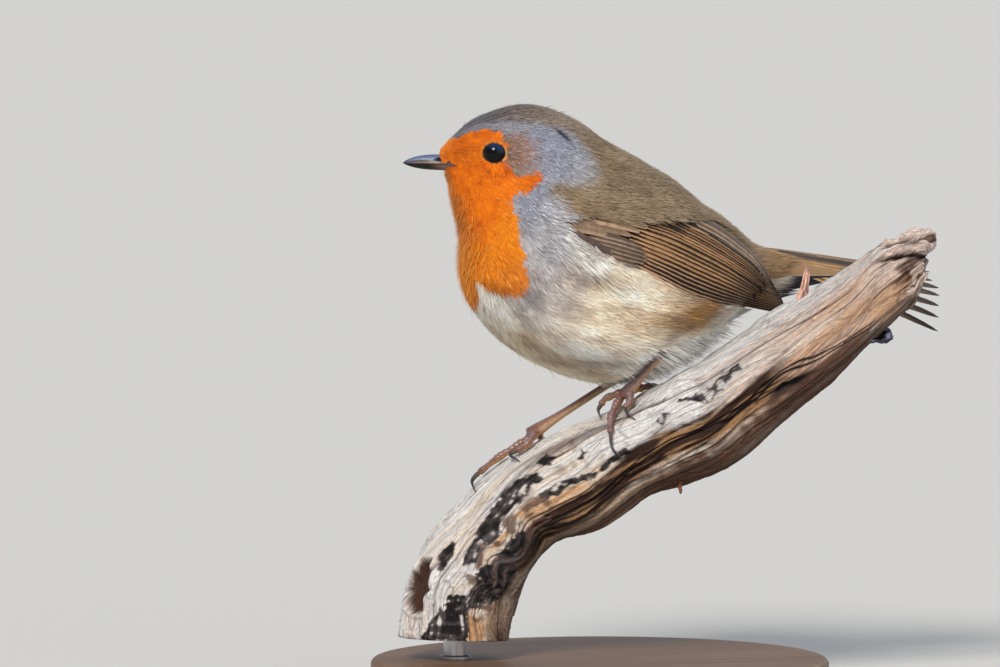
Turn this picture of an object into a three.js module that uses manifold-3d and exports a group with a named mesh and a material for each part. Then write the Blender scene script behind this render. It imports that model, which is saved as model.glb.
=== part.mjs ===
// European robin, life size, as a museum model: the bird grips a cut length of branch,
// and a plain stand holds the branch. Millimetres, +Z up. The bird faces -X with the middle
// plane of its body at Y = 0, its left side toward -Y. The origin is the middle of the
// underside of the stand's base.
import * as THREE from 'three';
import { mergeVertices } from 'three/addons/utils/BufferGeometryUtils.js';
import Module from 'manifold-3d';

const wasm = await Module();
wasm.setup();

// ---- driving dimensions -------------------------------------------------------------

const GAP = 0.3; // clearance between neighbouring solids
const DEG = Math.PI / 180;

// The body is a row of closed rings from the bill's root to the end of the tail coverts.
// Each ring: top [x, z], bottom [x, z], half width, and how much its lower half narrows.
const BODY_RINGS = [
  { top: [-40.0, 130.9], bottom: [-38.6, 126.6], half: 2.4, keel: 0.0 },
  { top: [-36.0, 135.2], bottom: [-37.4, 123.6], half: 5.2, keel: 0.0 },
  { top: [-31.0, 139.3], bottom: [-36.7, 119.4], half: 7.9, keel: 0.0 },
  { top: [-21.4, 142.5], bottom: [-35.3, 113.8], half: 10.2, keel: 0.05 },
  { top: [-13.5, 141.9], bottom: [-34.5, 109.2], half: 12.3, keel: 0.05 },
  { top: [-5.5, 138.4], bottom: [-34.8, 103.6], half: 15.2, keel: 0.05 },
  { top: [0.7, 134.0], bottom: [-34.5, 98.4], half: 18.6, keel: 0.0 },
  { top: [10.3, 128.8], bottom: [-31.4, 91.8], half: 22.0, keel: 0.0 },
  { top: [18.5, 124.0], bottom: [-24.5, 84.5], half: 24.2, keel: 0.0 },
  { top: [25.6, 118.0], bottom: [-13.3, 77.9], half: 24.8, keel: 0.0 },
  { top: [31.3, 112.8], bottom: [0.0, 74.1], half: 23.4, keel: 0.1 },
  { top: [35.6, 109.0], bottom: [12.0, 75.0], half: 20.0, keel: 0.28 },
  { top: [39.0, 107.2], bottom: [24.0, 80.4], half: 15.5, keel: 0.3 },
  { top: [43.0, 106.2], bottom: [33.0, 87.0], half: 11.2, keel: 0.2 },
  { top: [50.0, 104.6], bottom: [44.0, 93.6], half: 7.4, keel: 0.0 },
  { top: [62.0, 102.0], bottom: [60.0, 97.0], half: 4.6, keel: 0.0 },
];
const HEAD_END = 4.4; // ring number where the head meets the neck
const NECK_END = 6.8; // ring number where the neck meets the trunk
const HEAD_TURN = -18; // degrees about the neck's upright axis
const NECK_AXIS_X = -10.5;
const TURN_FADES = [3.2, 8.0]; // ring numbers between which the neck's twist fades out

const EYE = { x: -26.4, z: 130.7, radius: 3.3, proud: 1.4 };
const BILL = {
  root: [-39.3, 128.6], // middle of the gape where the bill leaves the face, in side view
  length: 9.2,
  depth: 3.6,
  half: 2.0, // half width at the root
  tilt: 3, // degrees below level
  hook: 0.04, // share of the length by which the tip bends down
  tip: 0.08, // share of the root's size left at the tip
  sink: 0.9, // how deep the root sits in the face
};

// Folded wing, in side view: upper and lower edge from the shoulder to the wing tip.
const WING = {
  upper: [[-16.5, 118.0], [-6.5, 121.2], [6.1, 121.6], [17.9, 116.8], [31.2, 110.4],
    [39.6, 100.4], [44.2, 93.9]],
  lower: [[-17.0, 116.0], [-8.9, 107.6], [1.0, 104.4], [14.7, 98.6], [26.7, 95.2],
    [37.0, 92.4], [43.6, 92.9]],
  proud: 1.0, // how far the wing stands out of the flank
  sunk: 0.9, // how deep it lies in the flank
  edge: 0.35, // half thickness at the rim
  tipSpread: 12.0, // distance of the wing tips from the middle plane
  chord: 60, // from the shoulder to the wing tip
  leavesFlank: [0.55, 0.95], // shares of the chord where it comes away from the flank
  rise: 8, // how fast it thickens from either end
};

const TAIL = {
  root: [44.0, 0.0, 103.8],
  length: 44.5,
  halfWidthAtRoot: 3.6,
  fan: 10.5, // degrees from the middle feather to the outermost
  pitch: 11.0, // degrees below level
  yaw: 3.0,
  roll: 20.0, // degrees, left edge down
  tent: 0.035, // how much the fan is arched, per mm of half width
  widening: 0.6, // growth of the feathers' own width toward the tips
  thickness: 1.3,
  tipThickness: 0.6,
  feathers: 12,
  scallop: 0.8, // depth of the notches between the feather tips
};

// Branch: distance along its own upright plane, height and radius of each station.
const PERCH_TURN = 18; // degrees between the branch's plane and the bird's
const PERCH_DEPTH = { atFoot: -2.2, slope: -0.05 };
const PERCH_STATIONS = [
  [-35.2, 12.5, 13.4],
  [-34.5, 20.4, 13.1],
  [-31.6, 28.8, 12.3],
  [-25.4, 37.0, 12.0],
  [-16.6, 45.8, 12.2],
  [-5.2, 51.5, 13.3],
  [6.0, 56.8, 11.9],
  [15.8, 60.9, 11.9],
  [26.3, 66.5, 12.5],
  [36.8, 74.4, 11.5],
  [49.1, 83.5, 10.8],
  [60.0, 91.9, 9.0],
  [69.3, 99.3, 8.8],
  [78.0, 104.6, 7.2],
  [88.0, 107.6, 5.8],
];
const PERCH_END = 13.1; // station where the branch is broken off
const PERCH_BREAK = 0.42; // how far the broken end slants, in stations
// Broken-off twigs on the branch: root and tip as [along, near, up], and root and tip radius.
const TWIGS = [
  { root: [48.2, 1.0, 93.0], tip: [51.2, 1.0, 102.8], radii: [1.9, 0.9] },
  { root: [60.0, 2.0, 89.0], tip: [70.2, 3.5, 86.3], radii: [2.6, 1.4] },
];

// Legs. Every place on a foot is [station of the branch, degrees round it, height over the
// bark]. A toe runs from the foot's ball through the first three places of its row, and its
// claw from the third place to the last.
const LEG = {
  shank: 1.0, // radii
  ball: 1.5,
  toe: 0.95,
  toeEnd: 0.72,
  claw: 0.5,
  clawEnd: 0.25,
  rounding: 0.3, // how much a toe or shank narrows at its very end
  ballShare: 8, // how quickly the ball's swelling fades up the shank
};
const TOE_BONES = 3;
const FEET = {
  left: {
    cuff: { root: [17.0, -13.2, 89.0], end: [11.9, -12.0, 82.1], radii: [4.6, 1.9] },
    ball: [6.64, 12, 3.0],
    toes: {
      inner: [[6.42, 10, 3.3], [6.12, 12, 3.7], [5.98, 12, 2.6], [5.9, 16, 2.0], [5.88, 25, 0.6]],
      middle: [[6.4, 12, 2.2], [6.1, 33, 1.5], [5.95, 58, 1.3], [5.86, 74, 1.6], [5.95, 87, 0.6]],
      outer: [[6.62, 24, 2.4], [6.52, 30, 2.0], [6.42, 30, 1.6], [6.42, 40, 1.7], [6.56, 52, 0.6]],
      hind: [[6.84, 4, 2.2], [7.04, -8, 1.5], [7.22, -14, 1.3], [7.36, -28, 1.7], [7.42, -44, 0.6]],
    },
  },
  right: {
    cuff: { root: [13.5, 9.0, 81.0], end: [7.1, 7.6, 74.3], radii: [5.5, 1.9] },
    ball: [4.64, 2, 2.6],
    toes: {
      inner: [[4.5, 18, 1.9], [4.36, 23, 1.5], [4.22, 20, 1.4], [4.12, 24, 1.8], [4.2, 38, 0.6]],
      middle: [[4.42, 2, 1.5], [4.0, 5, 1.3], [3.58, 3, 1.2], [3.42, 12, 1.7], [3.36, 28, 0.6]],
      outer: [[4.46, -20, 1.9], [4.2, -40, 1.5], [4.0, -55, 1.3], [3.88, -68, 1.7], [3.86, -82, 0.6]],
      hind: [[4.78, -14, 2.0], [4.88, -36, 1.5], [4.92, -52, 1.3], [4.98, -68, 1.7], [4.96, -84, 0.6]],
    },
  },
};

const BASE = { radius: 56, height: 7, chamfer: 1.2, sides: 48 };
const ROD = { radius: 3.0 };

// ---- curves -------------------------------------------------------------------------

// Smooth value through evenly numbered samples: the uniform Catmull-Rom spline.
function splineAt(samples, t) {
  const last = samples.length - 1;
  const i = Math.min(Math.max(Math.floor(t), 0), last - 1);
  const f = t - i;
  const at = (k) => samples[Math.min(Math.max(k, 0), last)];
  const [a, b, c, d] = [at(i - 1), at(i), at(i + 1), at(i + 2)];
  return 0.5 * (2 * b + (c - a) * f + (2 * a - 5 * b + 4 * c - d) * f * f
    + (3 * b - a - 3 * c + d) * f * f * f);
}

function smoothstep(from, to, value) {
  const f = Math.min(Math.max((value - from) / (to - from), 0), 1);
  return f * f * (3 - 2 * f);
}

// ---- body surface -------------------------------------------------------------------

const column = (pick) => BODY_RINGS.map(pick);
const TOP_X = column((r) => r.top[0]);
const TOP_Z = column((r) => r.top[1]);
const BOTTOM_X = column((r) => r.bottom[0]);
const BOTTOM_Z = column((r) => r.bottom[1]);
const HALF = column((r) => r.half);
const KEEL = column((r) => r.keel);

function ringAt(u) {
  return {
    top: [splineAt(TOP_X, u), splineAt(TOP_Z, u)],
    bottom: [splineAt(BOTTOM_X, u), splineAt(BOTTOM_Z, u)],
    half: splineAt(HALF, u),
    keel: splineAt(KEEL, u),
  };
}

// Turns a point about the neck's upright axis; the turn fades along the neck.
function turned(point, u) {
  const angle = HEAD_TURN * DEG * (1 - smoothstep(TURN_FADES[0], TURN_FADES[1], u));
  const dx = point.x - NECK_AXIS_X;
  return new THREE.Vector3(
    NECK_AXIS_X + dx * Math.cos(angle) - point.y * Math.sin(angle),
    dx * Math.sin(angle) + point.y * Math.cos(angle),
    point.z,
  );
}

// Point on ring u at angle v: 0 is the back, +90 degrees the left side, 180 the belly.
// The ring can be moved along its own normal by `shift`.
function bodyPoint(u, v, shift = 0) {
  const { top, bottom, half, keel } = ringAt(u);
  const across = new THREE.Vector2(top[0] - bottom[0], top[1] - bottom[1]).multiplyScalar(0.5);
  const normal = new THREE.Vector2(across.y, -across.x).normalize();
  const c = Math.cos(v);
  const flat = new THREE.Vector3(
    (top[0] + bottom[0]) / 2 + across.x * c + normal.x * shift,
    -half * Math.sin(v) * (1 + keel * c),
    (top[1] + bottom[1]) / 2 + across.y * c + normal.y * shift,
  );
  return turned(flat, u);
}

// Half width of the body at a point (x, z) of the side view, between two rings: the ring
// that passes through the point is found by halving the interval of ring numbers.
function halfWidthAt(x, z, fromRing, toRing) {
  let [low, high] = [fromRing, toRing];
  for (let step = 0; step < 30; step += 1) {
    const u = (low + high) / 2;
    const { top, bottom } = ringAt(u);
    const side = (top[0] - bottom[0]) * (z - bottom[1]) - (top[1] - bottom[1]) * (x - bottom[0]);
    if (side < 0) low = u;
    else high = u;
  }
  const { top, bottom, half, keel } = ringAt(low);
  const middle = [(top[0] + bottom[0]) / 2, (top[1] + bottom[1]) / 2];
  const reach = [top[0] - middle[0], top[1] - middle[1]];
  const share = ((x - middle[0]) * reach[0] + (z - middle[1]) * reach[1]) / (reach[0] ** 2 + reach[1] ** 2);
  const c = Math.min(Math.max(share, -0.97), 0.97);
  return half * Math.sqrt(1 - c * c) * (1 + keel * c);
}

// ---- mesh helpers -------------------------------------------------------------------

function signedVolume(positions, index) {
  const [a, b, c] = [new THREE.Vector3(), new THREE.Vector3(), new THREE.Vector3()];
  let volume = 0;
  for (let i = 0; i < index.length; i += 3) {
    a.fromArray(positions, index[i] * 3);
    b.fromArray(positions, index[i + 1] * 3);
    c.fromArray(positions, index[i + 2] * 3);
    volume += a.dot(b.cross(c)) / 6;
  }
  return volume;
}

function closedGeometry(points, index) {
  const positions = points.flatMap((p) => [p.x, p.y, p.z]);
  const faces = signedVolume(positions, index) < 0 ? index.slice().reverse() : index;
  const geometry = new THREE.BufferGeometry();
  geometry.setAttribute('position', new THREE.Float32BufferAttribute(positions, 3));
  geometry.setIndex(faces);
  return geometry;
}

// Closed solid through rings of equal point count; each end is a fan about its own middle.
function loft(rings) {
  const sides = rings[0].length;
  const points = rings.flat();
  const index = [];
  for (let r = 0; r + 1 < rings.length; r += 1) {
    for (let s = 0; s < sides; s += 1) {
      const [a, b] = [r * sides + s, r * sides + ((s + 1) % sides)];
      index.push(a, b, b + sides, a, b + sides, a + sides);
    }
  }
  for (const [row, flip] of [[0, true], [rings.length - 1, false]]) {
    const hub = points.length;
    const middle = new THREE.Vector3();
    rings[row].forEach((p) => middle.addScaledVector(p, 1 / sides));
    points.push(middle);
    for (let s = 0; s < sides; s += 1) {
      const [a, b] = [row * sides + s, row * sides + ((s + 1) % sides)];
      index.push(...(flip ? [hub, b, a] : [hub, a, b]));
    }
  }
  return closedGeometry(points, index);
}

// Closed solid between two sheets of rows x columns points, joined along their rim.
function shell(rows, columns, outer, inner) {
  const points = [];
  for (const sheet of [outer, inner]) {
    for (let r = 0; r <= rows; r += 1) {
      for (let c = 0; c <= columns; c += 1) points.push(sheet(r / rows, c / columns));
    }
  }
  const width = columns + 1;
  const offset = (rows + 1) * width;
  const index = [];
  const quad = (a, b, c, d) => index.push(a, b, c, a, c, d);
  for (let r = 0; r < rows; r += 1) {
    for (let c = 0; c < columns; c += 1) {
      const a = r * width + c;
      quad(a, a + 1, a + width + 1, a + width);
      quad(offset + a, offset + a + width, offset + a + width + 1, offset + a + 1);
    }
  }
  const rim = [];
  for (let c = 0; c < columns; c += 1) rim.push(c);
  for (let r = 0; r < rows; r += 1) rim.push(r * width + columns);
  for (let c = columns; c > 0; c -= 1) rim.push(rows * width + c);
  for (let r = rows; r > 0; r -= 1) rim.push(r * width);
  rim.forEach((a, k) => {
    const b = rim[(k + 1) % rim.length];
    quad(b, a, offset + a, offset + b);
  });
  return closedGeometry(points, index);
}

// Tube of round section along a smooth curve, with a radius for each share of its length.
function limb(curvePoints, radiusAt, steps, sides) {
  const curve = new THREE.CatmullRomCurve3(curvePoints, false, 'centripetal');
  const frames = curve.computeFrenetFrames(steps, false);
  const rings = [];
  for (let k = 0; k <= steps; k += 1) {
    const centre = curve.getPointAt(k / steps);
    const radius = radiusAt(k / steps);
    rings.push(Array.from({ length: sides }, (_, s) => {
      const angle = (2 * Math.PI * s) / sides;
      return centre.clone()
        .addScaledVector(frames.normals[k], radius * Math.cos(angle))
        .addScaledVector(frames.binormals[k], radius * Math.sin(angle));
    }));
  }
  return loft(rings);
}

function toManifold(geometry) {
  const bare = geometry.clone();
  bare.deleteAttribute('normal');
  bare.deleteAttribute('uv');
  const merged = mergeVertices(bare, 1e-5);
  return new wasm.Manifold(new wasm.Mesh({
    numProp: 3,
    vertProperties: new Float32Array(merged.attributes.position.array),
    triVerts: new Uint32Array(merged.index.array),
  }));
}

function fromManifold(solid) {
  const mesh = solid.getMesh();
  const geometry = new THREE.BufferGeometry();
  geometry.setAttribute('position', new THREE.Float32BufferAttribute(mesh.vertProperties, 3));
  geometry.setIndex(Array.from(mesh.triVerts));
  return geometry;
}

// What is left of a solid after its neighbours' room is taken away: its biggest body, as a
// cut can leave loose slivers at a rim.
function cut(geometry, tools) {
  const rest = tools.reduce((left, tool) => left.subtract(toManifold(tool)), toManifold(geometry));
  const bodies = rest.decompose().sort((a, b) => b.volume() - a.volume());
  return fromManifold(bodies[0]);
}
const join = (geometries) => fromManifold(
  geometries.map(toManifold).reduce((whole, next) => whole.add(next)),
);

const model = new THREE.Group();

function addPart(name, geometry, material) {
  const faces = geometry.clone();
  faces.computeVertexNormals();
  const mesh = new THREE.Mesh(faces, material.clone());
  mesh.name = name;
  model.add(mesh);
}

const finish = (color, roughness, metalness = 0) => (
  new THREE.MeshStandardMaterial({ color, roughness, metalness })
);

// ---- head, neck and trunk -----------------------------------------------------------

const RING_SIDES = 24;

function bodyLength(fromRing, toRing, steps, startShift, endShift) {
  const rings = [];
  for (let k = 0; k <= steps; k += 1) {
    const u = fromRing + ((toRing - fromRing) * k) / steps;
    const shift = (k === 0 ? startShift : 0) + (k === steps ? endShift : 0);
    rings.push(Array.from({ length: RING_SIDES }, (_, s) => (
      bodyPoint(u, (2 * Math.PI * s) / RING_SIDES, shift)
    )));
  }
  return loft(rings);
}

// ---- wings --------------------------------------------------------------------------

const WING_ROWS = 12;
const WING_COLUMNS = 6;
const edgeAt = (edge, s) => {
  const t = s * (edge.length - 1);
  return [splineAt(edge.map((p) => p[0]), t), splineAt(edge.map((p) => p[1]), t)];
};

// Sheet of the folded wing: s runs from the shoulder to the tip, t from the upper to the
// lower edge. `lift` moves it out of the flank and `grow` widens its outline.
function wingSheet(side, lift, grow) {
  return (sRaw, tRaw) => {
    const s = sRaw * (1 + (2 * grow) / WING.chord) - grow / WING.chord;
    const upper = edgeAt(WING.upper, s);
    const lower = edgeAt(WING.lower, s);
    const span = Math.max(Math.hypot(upper[0] - lower[0], upper[1] - lower[1]), 1);
    const t = tRaw * (1 + (2 * grow) / span) - grow / span;
    const x = upper[0] + (lower[0] - upper[0]) * t;
    const z = upper[1] + (lower[1] - upper[1]) * t;
    const free = smoothstep(...WING.leavesFlank, s);
    const flank = halfWidthAt(x, z, HEAD_END, BODY_RINGS.length - 1);
    const carrier = flank * (1 - free) + WING.tipSpread * free;
    const rise = Math.min(1, WING.rise * Math.min(sRaw, 1 - sRaw));
    const swell = Math.sqrt(rise * Math.sin(Math.PI * tRaw));
    return new THREE.Vector3(x, -side * (carrier + lift(swell)), z);
  };
}

function wing(side, grow = 0) {
  const edge = WING.edge + grow;
  const outer = wingSheet(side, (swell) => edge + (WING.proud - WING.edge) * swell, grow);
  const inner = wingSheet(side, (swell) => -edge - (WING.sunk - WING.edge) * swell, grow);
  return shell(WING_ROWS, WING_COLUMNS, outer, inner);
}

// ---- tail ---------------------------------------------------------------------------

const TAIL_ROWS = 5;
const TAIL_TURN = new THREE.Euler(TAIL.roll * DEG, TAIL.pitch * DEG, TAIL.yaw * DEG, 'ZYX');

// Sheet of the closed, slightly fanned tail: row 0 is the root, 1 the feather tips.
function tailSheet(lift, grow) {
  return (row, columnShare) => {
    const across = (2 * columnShare - 1) * (1 + grow / TAIL.halfWidthAtRoot);
    const angle = across * TAIL.fan * DEG;
    const tip = Math.abs(Math.sin(Math.PI * columnShare * TAIL.feathers));
    const reach = row * (TAIL.length + 2 * grow - TAIL.scallop * (1 - tip)) - grow;
    const spread = across * TAIL.halfWidthAtRoot * (1 + TAIL.widening * row);
    const local = new THREE.Vector3(reach * Math.cos(angle), -spread - reach * Math.sin(angle), 0);
    local.z = -TAIL.tent * local.y * local.y + lift(row);
    return local.applyEuler(TAIL_TURN).add(new THREE.Vector3(...TAIL.root));
  };
}

function tail(grow = 0) {
  const thick = (row) => TAIL.thickness / 2 + (TAIL.tipThickness - TAIL.thickness) / 2 * row + grow;
  return shell(TAIL_ROWS, 2 * TAIL.feathers, tailSheet(thick, grow), tailSheet((r) => -thick(r), grow));
}

// ---- bill and eyes ------------------------------------------------------------------

const BILL_STEPS = 8;
const BILL_SIDES = 8;
const headPoint = (x, y, z) => turned(new THREE.Vector3(x, y, z), 0);

// Middle of the bill at a share of its length from the root, with its half depth and width.
function billAt(share) {
  const taper = Math.pow(1 - share, 0.75) + BILL.tip * share;
  const bend = Math.sin(BILL.tilt * DEG) * share + BILL.hook * share ** 3;
  return {
    x: BILL.root[0] + BILL.sink - share * (BILL.length + BILL.sink),
    z: BILL.root[1] - bend * BILL.length,
    depth: (BILL.depth / 2) * taper,
    half: BILL.half * taper,
  };
}

// One mandible: half a tapering oval, flat along the gape; way is +1 above, -1 below.
function mandible(way) {
  const rings = [];
  for (let k = 0; k <= BILL_STEPS; k += 1) {
    const { x, z, depth, half } = billAt(k / BILL_STEPS);
    rings.push(Array.from({ length: BILL_SIDES + 1 }, (_, s) => {
      const angle = (Math.PI * s) / BILL_SIDES;
      return headPoint(x, half * Math.cos(angle), z + way * (GAP / 2 + depth * Math.sin(angle)));
    }));
  }
  return loft(rings);
}

// The room that the bill takes in the head, a gap wider than the bill.
function billRoom() {
  const rings = [];
  for (let k = -1; k <= 3; k += 1) {
    const { x, z, depth, half } = billAt(Math.max(k, 0) / BILL_STEPS);
    rings.push(Array.from({ length: 2 * BILL_SIDES }, (_, s) => {
      const angle = (Math.PI * s) / BILL_SIDES;
      const [wide, deep] = [half + GAP, depth + 1.5 * GAP];
      return headPoint(x + (k < 0 ? GAP : 0), wide * Math.cos(angle), z + deep * Math.sin(angle));
    }));
  }
  return loft(rings);
}

function eyeCentre(side) {
  const surface = halfWidthAt(EYE.x, EYE.z, 0, HEAD_END);
  return headPoint(EYE.x, -side * (surface + EYE.proud - EYE.radius), EYE.z);
}

function ball(centre, radius, detail) {
  return new THREE.SphereGeometry(radius, detail, detail / 2).rotateX(Math.PI / 2)
    .translate(centre.x, centre.y, centre.z);
}

// ---- branch -------------------------------------------------------------------------

const PERCH_ALONG = PERCH_STATIONS.map((p) => p[0]);
const PERCH_UP = PERCH_STATIONS.map((p) => p[1]);
const PERCH_RADIUS = PERCH_STATIONS.map((p) => p[2]);

// A place in the branch's own upright plane, `near` being the distance to the bird's left.
function perchPlace(along, near, up) {
  const depth = PERCH_DEPTH.atFoot + PERCH_DEPTH.slope * along - near;
  const [c, s] = [Math.cos(PERCH_TURN * DEG), Math.sin(PERCH_TURN * DEG)];
  return new THREE.Vector3(c * along + s * depth, -s * along + c * depth, up);
}

// Point of the branch's surface: t is the station number, angle 0 is on top and +90 degrees
// faces the bird's left, and lift is the height over the bark.
function gripPoint(t, angle, lift = 0) {
  const step = 0.01;
  const ahead = [splineAt(PERCH_ALONG, t + step) - splineAt(PERCH_ALONG, t - step),
    splineAt(PERCH_UP, t + step) - splineAt(PERCH_UP, t - step)];
  const length = Math.hypot(...ahead);
  const lump = 1 + 0.045 * Math.sin(2 * angle + 0.9 * t) + 0.03 * Math.sin(3 * angle - 1.7 * t + 1)
    + 0.015 * Math.sin(5 * angle + 2.3 * t);
  const radius = splineAt(PERCH_RADIUS, t) * lump + lift;
  return perchPlace(
    splineAt(PERCH_ALONG, t) - (ahead[1] / length) * radius * Math.cos(angle),
    radius * Math.sin(angle),
    splineAt(PERCH_UP, t) + (ahead[0] / length) * radius * Math.cos(angle),
  );
}

function perchBody() {
  const steps = 26;
  const count = 16;
  const rings = [];
  for (let k = 0; k <= steps; k += 1) {
    const share = k / steps;
    rings.push(Array.from({ length: count }, (_, s) => {
      const angle = (2 * Math.PI * s) / count;
      const slant = PERCH_BREAK * Math.cos(angle) * share ** 12;
      const point = gripPoint(PERCH_END * share + slant, angle);
      if (k === 0) point.z = PERCH_STATIONS[0][1];
      return point;
    }));
  }
  const twigs = TWIGS.map(({ root, tip, radii }) => (
    limb([perchPlace(...root), perchPlace(...tip)], (f) => radii[0] + (radii[1] - radii[0]) * f, 2, 8)
  ));
  return join([loft(rings), ...twigs]);
}

// ---- legs ---------------------------------------------------------------------------

const onPerch = ([t, degrees, lift]) => gripPoint(t, degrees * DEG, lift);

// Feathered end of the drumstick that the shank comes out of.
function cuff({ root, end, radii }, grow = 0) {
  const [from, to] = [new THREE.Vector3(...root), new THREE.Vector3(...end)];
  const radius = (f) => radii[0] + (radii[1] - radii[0]) * Math.sqrt(f) + grow;
  return limb([from, to], radius, 4, 8);
}

// Shank from the cuff down to the foot, with the foot's ball at its lower end.
function shank(foot, grow = 0) {
  const [ball, end] = [onPerch(foot.ball), new THREE.Vector3(...foot.cuff.end)];
  const root = new THREE.Vector3(...foot.cuff.root);
  const away = end.clone().sub(root).normalize();
  const top = end.clone().addScaledVector(away, GAP - grow);
  const below = ball.clone().addScaledVector(ball.clone().sub(top).normalize(), 0.8);
  const swell = (f) => Math.exp(-((LEG.ballShare * (1 - f)) ** 2)) * (LEG.ball - LEG.shank);
  const radius = (f) => LEG.shank + swell(f) - LEG.rounding * smoothstep(0.94, 1, f) + grow;
  return limb([top, ball, below], radius, 9, 8);
}

function toe(foot, row, grow = 0) {
  const places = [foot.ball, ...row.slice(0, TOE_BONES)].map(onPerch);
  const radius = (f) => LEG.toe + (LEG.toeEnd - LEG.toe) * f - LEG.rounding * smoothstep(0.93, 1, f) + grow;
  return limb(places, radius, 7, 7);
}

// Claw, from inside the last bone of its toe to its tip.
function claw(row) {
  const places = row.slice(TOE_BONES - 1).map(onPerch);
  return limb(places, (f) => LEG.claw + (LEG.clawEnd - LEG.claw) * f, 4, 5);
}

// ---- stand --------------------------------------------------------------------------

function standBase() {
  const { radius, height, chamfer } = BASE;
  const profile = [[0, 0], [radius - chamfer / 2, 0], [radius, chamfer / 2],
    [radius, height - chamfer], [radius - chamfer, height], [0, height]];
  return new THREE.LatheGeometry(profile.map(([r, z]) => new THREE.Vector2(r, z)), BASE.sides)
    .rotateX(Math.PI / 2);
}

function standRod() {
  const bottom = BASE.height + GAP;
  const top = PERCH_STATIONS[0][1] - GAP;
  const foot = perchPlace(PERCH_STATIONS[0][0], 0, 0);
  return new THREE.CylinderGeometry(ROD.radius, ROD.radius, top - bottom, 24)
    .rotateX(Math.PI / 2).translate(foot.x, foot.y, (top + bottom) / 2);
}

// ---- assembly -----------------------------------------------------------------------

const plumage = finish(0x8a7a5e, 0.9);
const orange = finish(0xd9661f, 0.9);
const horn = finish(0x2b2b33, 0.35);
const eyeBlack = finish(0x08080a, 0.05);
const scales = finish(0x6e4538, 0.45);
const wood = finish(0xcbb6a2, 0.8);
const standWood = finish(0x6b4a2f, 0.5);
const steel = finish(0xb9bcc0, 0.35, 1);

const HALF_GAP = GAP / 2;
const sides = { left: 1, right: -1 };
const eyeCuts = Object.values(sides).map((side) => ball(eyeCentre(side), EYE.radius + GAP, 14));
const wingCuts = Object.values(sides).map((side) => wing(side, GAP));
const legCuts = Object.values(FEET).flatMap((foot) => [cuff(foot.cuff, GAP), shank(foot, GAP)]);

const head = bodyLength(0, HEAD_END, 10, 0, -HALF_GAP);
const neck = bodyLength(HEAD_END, NECK_END, 5, HALF_GAP, -HALF_GAP);
const trunk = bodyLength(NECK_END, BODY_RINGS.length - 1, 18, HALF_GAP, 0);
addPart('head', cut(head, [...eyeCuts, billRoom()]), orange);
addPart('neck', cut(neck, wingCuts), orange);
addPart('trunk', cut(trunk, [...wingCuts, ...legCuts, tail(GAP)]), plumage);
addPart('tail', tail(), plumage);
addPart('bill_upper', mandible(1), horn);
addPart('bill_lower', mandible(-1), horn);
for (const [name, side] of Object.entries(sides)) {
  addPart(`eye_${name}`, ball(eyeCentre(side), EYE.radius, 14), eyeBlack);
  addPart(`wing_${name}`, wing(side), plumage);
}
for (const [name, foot] of Object.entries(FEET)) {
  addPart(`thigh_${name}`, cuff(foot.cuff), plumage);
  addPart(`shank_${name}`, shank(foot), scales);
  const taken = [shank(foot, GAP)];
  for (const [digit, row] of Object.entries(foot.toes)) {
    addPart(`toe_${name}_${digit}`, cut(toe(foot, row), taken), scales);
    taken.push(toe(foot, row, GAP));
    addPart(`claw_${name}_${digit}`, cut(claw(row), taken), horn);
  }
}
addPart('perch', perchBody(), wood);
addPart('stand_base', standBase(), standWood);
addPart('stand_rod', standRod(), steel);

export default model;
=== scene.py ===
"""European robin on a weathered branch: skin, feather coat, wings, tail, bill, eyes, feet and wood.

Lengths inside the classes are millimetres and are turned into metres where a mesh is made. The
bird faces -X, its left side is -Y, and +Z is up, as in the solids this model is built on.
"""

import enum
import logging
import math
from dataclasses import dataclass, field
from types import SimpleNamespace
from typing import Callable, Sequence

import bpy
import numpy as np
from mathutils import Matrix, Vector


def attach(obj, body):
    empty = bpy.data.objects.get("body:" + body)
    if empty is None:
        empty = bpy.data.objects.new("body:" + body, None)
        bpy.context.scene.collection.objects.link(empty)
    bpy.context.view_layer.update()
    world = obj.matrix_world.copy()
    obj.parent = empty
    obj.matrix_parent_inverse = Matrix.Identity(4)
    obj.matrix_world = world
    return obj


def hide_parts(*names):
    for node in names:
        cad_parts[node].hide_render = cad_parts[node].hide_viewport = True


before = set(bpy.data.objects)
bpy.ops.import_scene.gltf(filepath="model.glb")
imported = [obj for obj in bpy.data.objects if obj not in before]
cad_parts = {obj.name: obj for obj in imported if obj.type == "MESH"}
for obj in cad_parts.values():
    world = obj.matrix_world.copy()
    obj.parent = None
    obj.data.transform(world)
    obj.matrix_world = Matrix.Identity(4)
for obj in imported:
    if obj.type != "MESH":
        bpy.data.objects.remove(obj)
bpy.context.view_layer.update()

log = logging.getLogger("robin")
MM = 0.001
TAU = 2.0 * math.pi
Array = np.ndarray
Material = bpy.types.Material
Piece = bpy.types.Object
Tree = bpy.types.NodeTree
Node = bpy.types.Node
Socket = bpy.types.NodeSocket
Pair = tuple[float, float]
Triple = tuple[float, float, float]
Outline = tuple[Pair, ...]


# ---- curves and noise ------------------------------------------------------------------


def spline(samples: Array, t: Array) -> Array:
    """Value through evenly numbered samples by the uniform Catmull-Rom cubic.

    Args:
        samples: one sample a row, the rows numbered 0, 1, 2 and so on.
        t: row numbers, whole or broken, of any shape.

    Returns:
        The smooth values, with the sample's own width as the last axis if it has one.
    """
    rows = np.asarray(samples, float)
    place = np.asarray(t, float)
    last = len(rows) - 1
    i = np.clip(np.floor(place).astype(int), 0, last - 1)
    f = place - i
    a, b, c, d = (rows[np.clip(i + k, 0, last)] for k in (-1, 0, 1, 2))
    if rows.ndim > 1:
        f = f[..., None]
    return 0.5 * (2 * b + (c - a) * f + (2 * a - 5 * b + 4 * c - d) * f * f
                  + (3 * b - a - 3 * c + d) * f**3)


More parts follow.
